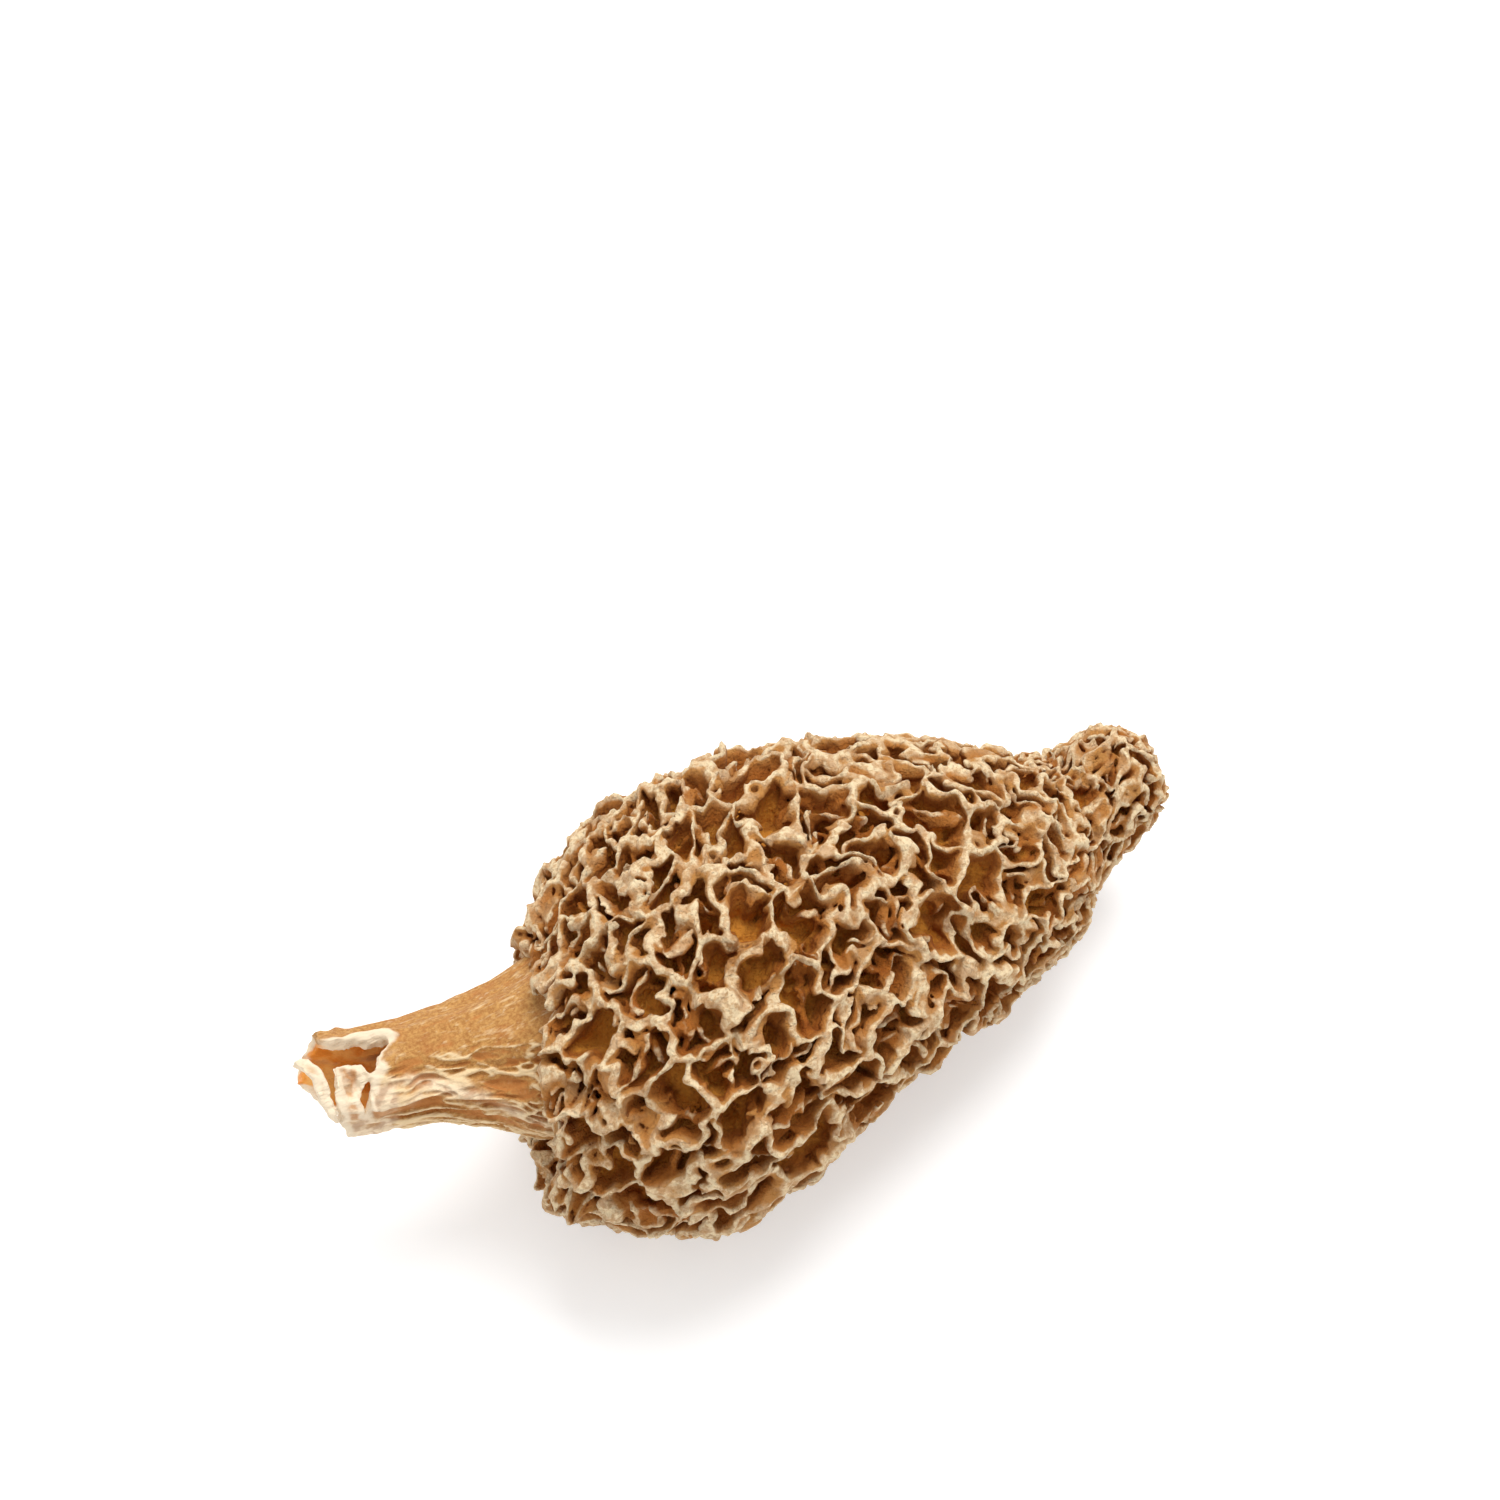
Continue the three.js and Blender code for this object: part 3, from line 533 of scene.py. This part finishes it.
def cap_field(p, table, maps, speed):
    """Distance-like values at points of the straight cap: less than 0 in the flesh. Also returns
    each point's depth under the main crests and how far it is from where the flesh is cream."""
    row, column, h, rho = surface_of(p, table)
    first = sample(maps[..., SHIFT_T : SHIFT_A + 1], row, column)
    curl = ramp(h, CURL_FROM, CURL_FULL)
    row_shift = first[:, 0] * curl / np.interp(row, np.arange(MAP_ROWS), speed)
    column_shift = first[:, 1] * curl * MAP_COLUMNS / (2 * math.pi) / np.maximum(rho, LEAST_RADIUS)
    m = sample(maps[..., :SHIFT_T], row + row_shift, column + column_shift)
    size = np.sqrt(m[:, SIZE])
    under = m[:, CREST] - h
    under_split = under - m[:, SPLIT_DROP] * m[:, SIZE]
    under_fold = under - m[:, FOLD_DROP] * m[:, SIZE]
    bead_r = np.maximum(LEAST_BEAD, CREST_BEAD + BEAD_CHANGE * m[:, BEAD]) * m[:, SIZE]
    strut = STRUT * np.clip(m[:, RIB] - STRUT_OFFSET, *STRUT_LIMITS) * ramp(under, 0, STRUT_FADE)
    main = ridge(m[:, EDGE] - strut, under, bead_r, size)
    split = ridge(m[:, SPLIT] - strut, under_split, SPLIT_BEAD * bead_r, size)
    fold = ridge(m[:, FOLD], under_fold, FOLD_BEAD * bead_r, size)
    net = soft_min(soft_min(main, split, WALL_BLEND), fold, WALL_BLEND)

    nearest = soft_min(m[:, ROUND_EDGE], m[:, SPLIT] + SPLIT_FILL * m[:, SPLIT_DROP], CORNER_BLEND)
    deep = m[:, DEPTH]
    shoulder = np.minimum(SHOULDER * m[:, SIZE], SHOULDER_SHARE * deep)
    bowl = h + shoulder + (deep - shoulder) * smooth((nearest - strut) / (BOWL_SIDE * m[:, SIZE]))

    rim_main = np.hypot(m[:, EDGE], RIM_FALL * under) - MAIN_BRIGHT * m[:, SIZE]
    rim_split = np.hypot(m[:, SPLIT], RIM_FALL * under_split) + DROP_DULL * m[:, SPLIT_DROP]
    rim_fold = np.hypot(m[:, FOLD], RIM_FALL * under_fold) + DROP_DULL * m[:, FOLD_DROP]
    rim = np.minimum(np.minimum(rim_main, rim_split), rim_fold)
    rim += TIP_DULL * ramp(p[:, 0], FINE_FROM, FINE_FULL)
    flesh = soft_min(net, bowl, PIT_BLEND) - m[:, GRAIN] - CRUMB * layers(p, CRUMBS)
    return flesh, under / m[:, SIZE], rim


# ---- Meshes ----


def surface_mesh(values, low, high, voxel):
    """The zero surface of values(points), less than 0 inside, as points and four-sided faces."""
    shape = np.ceil((np.array(high) - low) / voxel).astype(int)
    x, y, z = (low[k] + voxel * np.arange(shape[k], dtype=np.float32) for k in range(3))
    y, z = np.meshgrid(y, z, indexing="ij")
    field = np.empty(shape, np.float32)
    for i, xi in enumerate(x):
        p = np.stack([np.full(y.size, xi), y.ravel(), z.ravel()], 1)
        field[i] = np.clip(values(p), -1, 1).reshape(y.shape)
    grid = openvdb.FloatGrid(1.0)
    grid.copyFromArray(field)
    points, _, quads = grid.convertToPolygons(0.0, 0.0)
    return points * voxel + low, quads


def made_mesh(name, points, faces):
    """An object from points and faces, which all have the same number of corners."""
    mesh = bpy.data.meshes.new(name)
    mesh.vertices.add(len(points))
    mesh.vertices.foreach_set("co", points.astype(np.float32).ravel())
    mesh.loops.add(faces.size)
    mesh.loops.foreach_set("vertex_index", faces.astype(np.int32).ravel())
    mesh.polygons.add(len(faces))
    starts = np.arange(0, faces.size, faces.shape[1], dtype=np.int32)
    mesh.polygons.foreach_set("loop_start", starts)
    mesh.update(calc_edges=True)
    thing = bpy.data.objects.new(name, mesh)
    bpy.context.scene.collection.objects.link(thing)
    return thing


def decimate(thing, most):
    """Cuts a mesh of four-sided faces down to about that many triangles."""
    reduce = thing.modifiers.new("reduce", "DECIMATE")
    reduce.ratio = min(1, most / (2 * len(thing.data.polygons)))
    graph = bpy.context.evaluated_depsgraph_get()
    mesh = bpy.data.meshes.new_from_object(thing.evaluated_get(graph))
    thing.modifiers.clear()
    thing.data = mesh


def coordinates(mesh):
    co = np.empty(3 * len(mesh.vertices), np.float32)
    mesh.vertices.foreach_get("co", co)
    return co.reshape(-1, 3).astype(float)


def triangles(mesh):
    corners = np.empty(3 * len(mesh.loop_triangles), np.int32)
    mesh.loop_triangles.foreach_get("vertices", corners)
    return corners.reshape(-1, 3)


def add_values(mesh, name, values):
    """Gives each point a value that a material reads by that name."""
    layer = mesh.attributes.new(name, "FLOAT", "POINT")
    layer.data.foreach_set("value", values.astype(np.float32))


def finished(thing, laid):
    """Puts a mesh's points where they lie, in metres, with smooth shading."""
    thing.data.vertices.foreach_set("co", (laid * MM).astype(np.float32).ravel())
    thing.data.polygons.foreach_set("use_smooth", np.ones(len(thing.data.polygons), bool))
    thing.data.update()
    return thing


def point_normals(points, faces):
    """Each point's outward normal, from all the triangles that meet there."""
    a, b, c = points[faces[:, 0]], points[faces[:, 1]], points[faces[:, 2]]
    face = np.cross(b - a, c - a)
    normal = [np.bincount(faces.ravel(), np.repeat(face[:, k], 3), len(points)) for k in range(3)]
    normal = np.stack(normal, 1)
    return normal / np.maximum(np.linalg.norm(normal, axis=1, keepdims=True), 1e-12)


def round_mean(values, faces, count):
    """Each point's mean over the points it shares an edge with."""
    ends, others = faces.ravel(), np.roll(faces, -1, axis=1).ravel()
    total = np.bincount(ends, values[others], count) + np.bincount(others, values[ends], count)
    return total / np.maximum(np.bincount(ends, None, count) + np.bincount(others, None, count), 1)


def bulge(points, faces, normal):
    """How sharply the surface curves at each point: more than 0 on crests, less in creases."""
    count = len(points)
    mean = np.stack([round_mean(points[:, k], faces, count) for k in range(3)], 1)
    spread = round_mean((points**2).sum(1), faces, count) - (mean**2).sum(1)
    curve = 2 * ((points - mean) * normal).sum(1) / np.maximum(spread, 1e-3)
    for _ in range(BULGE_ROUNDS):
        curve = round_mean(curve, faces, count)
    return curve


def largest_part(faces, count):
    """Which points belong to the largest connected part of a mesh."""
    label = np.arange(count)
    while True:
        least = label[faces].min(1)
        before = label.copy()
        for k in range(3):
            np.minimum.at(label, faces[:, k], least)
        label = label[label]
        if (label == before).all():
            return label == np.bincount(label).argmax()


def reduced(points, quads, most):
    """A surface in about that many triangles and without loose parts, as points and faces."""
    whole = made_mesh("whole", points, quads)
    decimate(whole, most)
    points, faces = coordinates(whole.data), triangles(whole.data)
    bpy.data.objects.remove(whole)
    faces = faces[largest_part(faces, len(points))[faces[:, 0]]]
    used, corners = np.unique(faces, return_inverse=True)
    return points[used], corners.reshape(-1, 3)


def bands(x, faces):
    """Each face's band, counted along x. Faces that would be a loose part of their own band go to
    the band on their side, which they are joined to."""
    x = x[faces[:, 0]]
    band = np.empty(len(faces), int)
    for k, part in enumerate(np.array_split(np.argsort(x), CAP_BANDS)):
        band[part] = k
    for k in 2 * list(range(CAP_BANDS)):
        own = np.flatnonzero(band == k)
        joined = largest_part(faces[own], faces.max() + 1)[faces[own, 0]]
        loose = own[~joined]
        band[loose] += np.where(x[loose] > np.median(x[own]), 1, -1)
    return np.clip(band, 0, CAP_BANDS - 1)


def cap_mesh():
    """The straight cap's points and four-sided faces, and what cap_field needs besides points."""
    maps = cap_maps()
    x, r = np.arange(*SECTION_X, SECTION_STEP), np.arange(*SECTION_RADIUS, SECTION_STEP)
    table = ((x[0], r[0], SECTION_STEP), *section_table(x, r))
    line = spline(CAP_PROFILE, np.linspace(0, 1, MAP_ROWS))
    speed = np.linalg.norm(np.gradient(line, axis=0), axis=1) + 1e-4
    tools = (table, maps, speed)

    def values(p):
        _, _, h, _ = surface_of(p, table)
        layer = np.where(h > 0, 1.0, -1.0).astype(np.float32)
        shell = (h > RELIEF_LOW) & (h < RELIEF_HIGH)
        if shell.any():
            layer[shell] = cap_field(p[shell], *tools)[0]
        return layer

    points, quads = surface_mesh(values, CAP_LOW, CAP_HIGH, CAP_VOXEL)
    return points, quads, tools


def cap():
    """The cap's mesh in bands that meet without a gap and share the whole surface's normals."""
    points, quads, tools = cap_mesh()
    straight, faces = reduced(points, quads, CAP_TRIANGLES)
    _, under, rim = cap_field(straight, *tools)
    laid = lay(straight)
    normal = point_normals(laid, faces)
    curve = bulge(laid, faces, normal)
    band_of = bands(straight[:, 0], faces)
    pieces = []
    for k in range(CAP_BANDS):
        used, corners = np.unique(faces[band_of == k], return_inverse=True)
        band = made_mesh(f"cap_{k + 1}", laid[used], corners.reshape(-1, 3))
        add_values(band.data, "under", under[used])
        add_values(band.data, "rim", rim[used])
        add_values(band.data, "bulge", curve[used])
        finished(band, laid[used])
        band.data.validate()
        band.data.normals_split_custom_set_from_vertices(normal[used].tolist())
        pieces.append(band)
    return pieces


# ---- The stem ----


def stem_place(p):
    """Places round the stem's middle line: radius and angle, 0 facing -Y and 90 degrees up."""
    line = spline(STEM_LINE, np.linspace(0, 1, LINE_STEPS))[::-1]
    y = p[:, 1] - np.interp(p[:, 0], line[:, 0], line[:, 1])
    z = p[:, 2] - np.interp(p[:, 0], line[:, 0], line[:, 2]) - AXIS_HEIGHT
    return np.hypot(y, z), np.arctan2(z, -y)


def outline_distance(u, v, outline):
    """Signed distance to a closed outline in a plane, less than 0 inside."""
    nearest = np.full(u.shape, HUGE, np.float32)
    inside = np.zeros(u.shape, bool)
    for (u0, v0), (u1, v1) in zip(outline, outline[1:] + outline[:1]):
        du, dv = u1 - u0, v1 - v0
        share = np.clip(((u - u0) * du + (v - v0) * dv) / (du * du + dv * dv), 0, 1)
        nearest = np.minimum(nearest, np.hypot(u - u0 - share * du, v - v0 - share * dv))
        crosses = (v0 > v) != (v1 > v)
        if dv:
            inside ^= crosses & (u < u0 + (v - v0) / dv * du)
    return np.where(inside, -nearest, nearest)


def from_tear(p, degrees):
    """How far points of the stem's wall are from its torn edge, less than 0 past it."""
    turn = math.radians(1) * MOUTH_RADIUS
    end = p[:, 0] - along(MOUTH_EDGE, degrees)
    tears = outline_distance(degrees * turn, p[:, 0], [(a * turn, x) for a, x in TEARS])
    return np.minimum(end, tears) + layers(p, TEAR_RAG)


def flap_lean(x, degrees):
    """How far the first flap's wall is bent inwards."""
    across = smooth((x - FLAP_FROM) / FLAP_EDGE) * smooth((FLAP_TO - x) / FLAP_EDGE)
    along_it = ramp(degrees, FLAP_LOW, FLAP_FULL) * ramp(degrees, FLAP_END, FLAP_HIGH)
    return FLAP_LEAN * across * along_it


def flap_slash(x, degrees):
    """1 in the sunken line down the first flap, 0 away from it."""
    off = x - SLASH_X - SLASH_SLANT * (SLASH_TOP - degrees)
    slash = np.exp(-((off / SLASH_WIDTH) ** 2))
    slash *= smooth((degrees - SLASH_FROM) / SLASH_FADE) * smooth((SLASH_TO - degrees) / SLASH_FADE)
    return slash


def lip_growth(x, degrees):
    """The upper lip grows from the torn end inwards."""
    return np.where(degrees > UPPER_LIP, along(LIP_GROWTH, x), 1)


def stem_field(p):
    """Distance-like values round the stem, and for each point how high it is on a wrinkle, how far
    it is from the torn edge and how far out of the hollow."""
    rho, angle = stem_place(p)
    x = p[:, 0]
    degrees = np.degrees(angle)
    plain = along(STEM_RADIUS, x)
    around = np.stack([STEM_STRETCH * x, plain * np.cos(angle), plain * np.sin(angle)], 1)
    around += vector_layers(p, STEM_DRIFT)
    turned = np.where(degrees < -90, degrees + 360, degrees)
    low_side = 1 - ramp(turned, TOP_FROM, TOP_FULL) * ramp(turned, TOP_END, TOP_LAST)
    near_mouth = ramp(x, MOUTH_FROM, MOUTH_FULL)
    wrinkle = 1 - 2 * np.abs(layers(around, WIDE_WRINKLE))
    fine = 1 - 2 * np.abs(layers(around, FINE_WRINKLE))
    strength = (WRINKLE_PLAIN + WRINKLE_MORE * low_side) * (1 - MOUTH_CALM * near_mouth)
    groove = 1 + sum(d * np.sin(n * angle + a + k * x) for d, n, a, k in STEM_GROOVES)
    lean, slash = flap_lean(x, degrees), flap_slash(x, degrees)
    outer = plain * groove + strength * (wrinkle - WRINKLE_LEVEL + FINE_SHARE * fine) - lean
    outer += layers(p, MOUTH_LUMPS) * near_mouth - SLASH_DEPTH * slash
    hollow = np.minimum(HOLLOW_MOST, plain - STEM_WALL) + layers(around, HOLLOW_CHANGE) - lean
    hollow = np.where(x > HOLLOW_END, -1.0, hollow)
    middle = (outer + hollow) / 2

    tear = from_tear(p, degrees)
    lip_r = along(LIP_RADIUS, np.abs(degrees)) * (1 + layers(p, LIP_CHANGE))
    lip_r *= lip_growth(x, degrees)
    lip = np.hypot(rho - middle - LIP_OUT, tear - LIP_BACK * lip_r) - lip_r
    body = np.maximum(np.maximum(rho - outer, hollow - rho), -tear)
    relief = np.clip(SHOWN_TOP + low_side, 0, 1) * (wrinkle + SHOWN_FINE * fine)
    relief -= SHOWN_SLASH * slash
    return soft_min(body, lip, LIP_BLEND), relief, tear, rho - middle


def pale_zone(p):
    """1 where the stem is whitish: round the flaps and along a band that slants to the cap."""
    _, angle = stem_place(p)
    x, degrees = p[:, 0], np.degrees(angle)
    ragged = layers(p, PALE_RAG)
    flaps = smooth((PALE_FROM - x + FLAP_RAG * ragged) / PALE_FADE)
    flaps *= ramp(degrees, PALE_TOP, PALE_TOP_FULL)
    band = np.exp(-(((degrees - BAND_START + BAND_SLANT * (x - BAND_X)) / BAND_WIDTH) ** 2))
    band *= smooth((BAND_END - x) / BAND_FADE) * smooth(BAND_FILL + BAND_RAG * ragged)
    return np.maximum(flaps, band)


def stem():
    """The stem's mesh, with the values that its material reads."""
    points, quads = surface_mesh(lambda p: stem_field(p)[0], STEM_LOW, STEM_HIGH, STEM_VOXEL)
    straight, faces = reduced(points, quads, STEM_TRIANGLES)
    thing = made_mesh("stem", straight, faces)
    _, wrinkle, tear, outside = stem_field(straight)
    degrees = np.degrees(stem_place(straight)[1])
    pale_lip = along(LIP_PALE, np.abs(degrees)) * lip_growth(straight[:, 0], degrees)
    add_values(thing.data, "wrinkle", wrinkle)
    add_values(thing.data, "tear", tear + LIP_FADE * (1 - pale_lip))
    add_values(thing.data, "outside", outside)
    add_values(thing.data, "pale", pale_zone(straight))
    return finished(thing, straight - ORIGIN)


# ---- Materials ----


class Shading:
    """A material's node tree, built by small calls that each return an output socket."""

    def __init__(self, name):
        self.material = bpy.data.materials.new(name)
        self.material.use_nodes = True
        tree = self.material.node_tree
        self.nodes, self.links = tree.nodes, tree.links
        self.shader = self.nodes["Principled BSDF"]
        self.place = self.nodes.new("ShaderNodeTexCoord").outputs["Object"]

    def join(self, value, socket):
        """Feeds a socket from another, or sets it to a plain value."""
        if isinstance(value, bpy.types.NodeSocket):
            self.links.new(value, socket)
        else:
            socket.default_value = value

    def value(self, name):
        """A value that the mesh holds at each point."""
        node = self.nodes.new("ShaderNodeAttribute")
        node.attribute_name = name
        return node.outputs["Fac"]

    def noise(self, size, detail=2.0, rough=0.5, stretch=(1, 1, 1)):
        """Soft noise from 0 to 1 whose features are about size millimetres."""
        mapping = self.nodes.new("ShaderNodeMapping")
        mapping.inputs["Scale"].default_value = stretch
        self.links.new(self.place, mapping.inputs["Vector"])
        node = self.nodes.new("ShaderNodeTexNoise")
        self.links.new(mapping.outputs[0], node.inputs["Vector"])
        node.inputs["Scale"].default_value = 1 / (size * MM)
        node.inputs["Detail"].default_value = detail
        node.inputs["Roughness"].default_value = rough
        return node.outputs["Fac"]

    def span(self, value, low, high, to_low=0.0, to_high=1.0):
        """value moved smoothly from the range low..high to to_low..to_high."""
        node = self.nodes.new("ShaderNodeMapRange")
        node.interpolation_type = "SMOOTHSTEP"
        self.join(value, node.inputs["Value"])
        limits = {"From Min": low, "From Max": high, "To Min": to_low, "To Max": to_high}
        for name, number in limits.items():
            node.inputs[name].default_value = number
        return node.outputs["Result"]

    def math(self, what, a, b=0.0):
        node = self.nodes.new("ShaderNodeMath")
        node.operation = what
        self.join(a, node.inputs[0])
        self.join(b, node.inputs[1])
        return node.outputs[0]

    def sway(self, value, ragged, amount):
        """value moved up and down by noise from 0 to 1."""
        about_zero = self.math("SUBTRACT", ragged, 0.5)
        return self.math("ADD", value, self.math("MULTIPLY", about_zero, amount))

    def mix(self, share, a, b):
        """Colour a where share is 0, and b where it is 1."""
        node = self.nodes.new("ShaderNodeMix")
        node.data_type = "RGBA"
        sockets = {socket.identifier: socket for socket in node.inputs}
        self.join(share, sockets["Factor_Float"])
        self.join(a, sockets["A_Color"])
        self.join(b, sockets["B_Color"])
        return next(socket for socket in node.outputs if socket.identifier == "Result_Color")

    def bump(self, height, depth, onto=None):
        """Relief of that depth in millimetres from a height of 0 to 1."""
        node = self.nodes.new("ShaderNodeBump")
        node.inputs["Strength"].default_value = 1.0
        node.inputs["Distance"].default_value = depth * MM
        self.join(height, node.inputs["Height"])
        if onto is not None:
            self.links.new(onto, node.inputs["Normal"])
        return node.outputs["Normal"]


def colour(red, green, blue):
    """A screen colour, 0 to 255, as the linear colour that a shader takes."""
    return tuple((c / 255) ** 2.2 for c in (red, green, blue)) + (1.0,)


# The cap, from its crests down to the bottom of its pits.
CREAM, TAN, GREY = colour(246, 222, 180), colour(206, 154, 96), colour(204, 160, 118)
BUFF, DUN = colour(194, 136, 74), colour(190, 140, 90)
OCHRE, WALL, AMBER = colour(178, 112, 50), colour(166, 96, 34), colour(226, 150, 58)
# DARK serves both for dark patches deep in the pits and for the painted shade in the creases.
DARK, RUST = colour(128, 62, 12), colour(140, 80, 32)
# The stem.
SKIN_DARK, SKIN_LIGHT, STAIN = colour(156, 106, 54), colour(188, 140, 80), colour(160, 98, 48)
WRINKLE_TOP, WRINKLE_FOOT = colour(230, 204, 160), colour(176, 110, 54)
PALE_SKIN, DULL_SKIN, LIP = colour(228, 206, 174), colour(190, 160, 132), colour(230, 212, 184)
HOLLOW_DEEP, HOLLOW_LIGHT = colour(214, 126, 38), colour(238, 178, 98)


def cap_material():
    """Cream crests over brown walls and amber pits."""
    s = Shading("morel_cap")
    under, rim, bulge_value = s.value("under"), s.value("rim"), s.value("bulge")
    grain, lump = s.noise(0.45, 3, 0.6), s.noise(1.2, 3)
    blotch, patch = s.noise(2.2, 3), s.noise(6, 2)

    # From the pits' bottoms up their walls.
    depth = s.sway(under, blotch, 1.6)
    inner = s.mix(s.span(depth, 1.5, 2.8), WALL, AMBER)
    inner = s.mix(s.span(s.noise(1.4, 2), 0.54, 0.72, 0, 0.5), inner, DARK)
    flesh = s.mix(s.span(depth, 0.5, 1.5), OCHRE, inner)
    ridge_side = s.mix(s.span(s.noise(1.7, 2), 0.45, 0.6), BUFF, DUN)
    flesh = s.mix(s.span(depth, 0.1, 0.7), ridge_side, flesh)

    # The crests, ragged; their cream is the ridges' own colour, and it reaches further where the
    # surface bulges as a painted highlight and less far in creases.
    crest = s.math("ADD", rim, s.span(bulge_value, -0.4, 1.6, 0.3, -0.25))
    for ragged, amount in ((grain, 0.5), (lump, 0.7), (patch, 0.5)):
        crest = s.sway(crest, ragged, amount)
    crest_colour = s.mix(s.span(s.noise(1.1, 3, 0.6), 0.46, 0.62, 0, 0.75), CREAM, GREY)
    crest_colour = s.mix(s.span(grain, 0.38, 0.56, 0.5, 0), crest_colour, TAN)
    flesh = s.mix(s.span(crest, 0.12, 0.5, 0.97, 0), flesh, crest_colour)

    # Specks, and painted shade: the creases turn towards dark brown.
    flesh = s.mix(s.span(grain, 0.3, 0.5, 0.26, 0), flesh, RUST)
    flesh = s.mix(s.span(bulge_value, -2.4, -0.6, 0.55, 0), flesh, DARK)
    s.join(flesh, s.shader.inputs["Base Color"])
    s.shader.inputs["Roughness"].default_value = 0.8
    s.shader.inputs["Specular IOR Level"].default_value = 0.25
    lumps = s.bump(s.noise(0.8, 2, 0.5), 0.5)
    s.join(s.bump(s.noise(0.34, 4, 0.7), 0.45, lumps), s.shader.inputs["Normal"])
    return s.material


def stem_material():
    """Grainy ochre skin with cream wrinkles, a pale torn lip and an orange hollow."""
    s = Shading("morel_stem")
    wrinkle, tear, outside, pale = (s.value(n) for n in ("wrinkle", "tear", "outside", "pale"))
    grain, blotch = s.noise(0.3, 3, 0.65), s.noise(1.8, 3)

    # The skin, grainy and stained, with specks drawn out along the stem.
    skin = s.mix(s.span(grain, 0.33, 0.68), SKIN_DARK, SKIN_LIGHT)
    skin = s.mix(s.span(s.noise(2.6, 3, 0.6), 0.5, 0.7, 0, 0.5), skin, STAIN)
    fleck = s.noise(0.5, 2, 0.6, (0.6, 1, 1))
    skin = s.mix(s.span(fleck, 0.6, 0.74, 0, 0.3), skin, CREAM)

    # Cream on the wrinkles, brown between them, and the whitish zone.
    line = s.noise(0.3, 2, 0.6, (0.14, 1, 1))
    high = s.sway(wrinkle, line, 1.5)
    skin = s.mix(s.span(high, 0.15, 0.95, 0, 0.85), skin, WRINKLE_TOP)
    skin = s.mix(s.span(high, -0.8, -0.1, 0.7, 0), skin, WRINKLE_FOOT)
    patch = s.mix(s.span(s.noise(0.8, 2), 0.4, 0.62), PALE_SKIN, DULL_SKIN)
    skin = s.mix(s.math("MULTIPLY", pale, s.span(wrinkle, -0.8, 0.2, 0.3, 0.9)), skin, patch)

    # The hollow and the torn lip.
    inner = s.mix(s.span(blotch, 0.35, 0.65), HOLLOW_DEEP, HOLLOW_LIGHT)
    skin = s.mix(s.span(outside, -0.25, -0.02, 1, 0), skin, inner)
    lip = s.sway(tear, s.noise(1.0, 3), 1.0)
    skin = s.mix(s.span(lip, 0.3, 0.8, 0.9, 0), skin, LIP)
    s.join(skin, s.shader.inputs["Base Color"])
    s.shader.inputs["Roughness"].default_value = 0.75
    s.shader.inputs["Specular IOR Level"].default_value = 0.3
    s.join(s.bump(line, 0.12, s.bump(grain, 0.07)), s.shader.inputs["Normal"])
    return s.material


# ---- Table, light and camera (metres) ----

TABLE_SIDE, TABLE_GREY, TABLE_GLOW = 4, 0.75, 0.36
WORLD_LIGHT = 0.84
KEY_PLACE, KEY_SIZE, KEY_WATTS = (0.2, 0.22, 0.7), 0.5, 4.9
CAMERA_PLACE = (-0.06097, -0.13089, 0.29775)
CAMERA_TURN, CAMERA_HEIGHT = math.radians(24.5), math.radians(60)  # from +Y towards +X, and down
LENS, SENSOR_WIDTH = 100, 36  # millimetres
CAMERA_RANGE = 0.01, 10


def stage():
    """A plain white table."""
    bpy.ops.mesh.primitive_plane_add(size=TABLE_SIDE)
    floor = bpy.context.object
    floor.name = "table"
    white = Shading("white_table")
    white.shader.inputs["Base Color"].default_value = (TABLE_GREY, TABLE_GREY, TABLE_GREY, 1)
    white.shader.inputs["Roughness"].default_value = 0.6
    white.shader.inputs["Emission Color"].default_value = (1, 1, 1, 1)
    white.shader.inputs["Emission Strength"].default_value = TABLE_GLOW
    floor.data.materials.append(white.material)


def placed(thing, place, away):
    """Puts a light or camera at a place, looking opposite to the direction away."""
    bpy.context.scene.collection.objects.link(thing)
    thing.location = place
    thing.rotation_euler = away.to_track_quat("Z", "Y").to_euler()
    return thing


def light():
    """Even white light from all sides and one soft key light from the far right."""
    world = bpy.data.worlds.new("studio")
    world.use_nodes = True
    background = world.node_tree.nodes["Background"]
    background.inputs["Color"].default_value = (1, 1, 1, 1)
    background.inputs["Strength"].default_value = WORLD_LIGHT
    bpy.context.scene.world = world
    bpy.context.scene.view_settings.view_transform = "Standard"
    lamp = bpy.data.lights.new("key", "AREA")
    lamp.shape, lamp.size, lamp.energy = "DISK", KEY_SIZE, KEY_WATTS
    placed(bpy.data.objects.new("key", lamp), KEY_PLACE, Vector(KEY_PLACE))


def camera():
    """A long lens from above the stem's side."""
    level = math.cos(CAMERA_HEIGHT)
    forward = Vector(
        (math.sin(CAMERA_TURN) * level, math.cos(CAMERA_TURN) * level, -math.sin(CAMERA_HEIGHT))
    )
    lens = bpy.data.cameras.new("camera")
    lens.lens, lens.sensor_width = LENS, SENSOR_WIDTH
    lens.clip_start, lens.clip_end = CAMERA_RANGE
    thing = bpy.data.objects.new("camera", lens)
    bpy.context.scene.camera = placed(thing, CAMERA_PLACE, -forward)


# ---- The scene ----


def dress(piece, material):
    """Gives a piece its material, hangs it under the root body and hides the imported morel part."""
    piece.data.materials.append(material)
    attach(piece, "root")
    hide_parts("morel")


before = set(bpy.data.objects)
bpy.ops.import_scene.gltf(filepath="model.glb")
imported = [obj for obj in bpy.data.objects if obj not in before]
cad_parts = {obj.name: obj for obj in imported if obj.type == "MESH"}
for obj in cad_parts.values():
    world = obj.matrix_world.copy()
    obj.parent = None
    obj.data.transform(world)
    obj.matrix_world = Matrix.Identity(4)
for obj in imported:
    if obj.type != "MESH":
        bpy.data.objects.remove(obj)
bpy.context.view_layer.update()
flesh = cap_material()
for band in cap():
    dress(band, flesh)
dress(stem(), stem_material())
stage()
light()
camera()
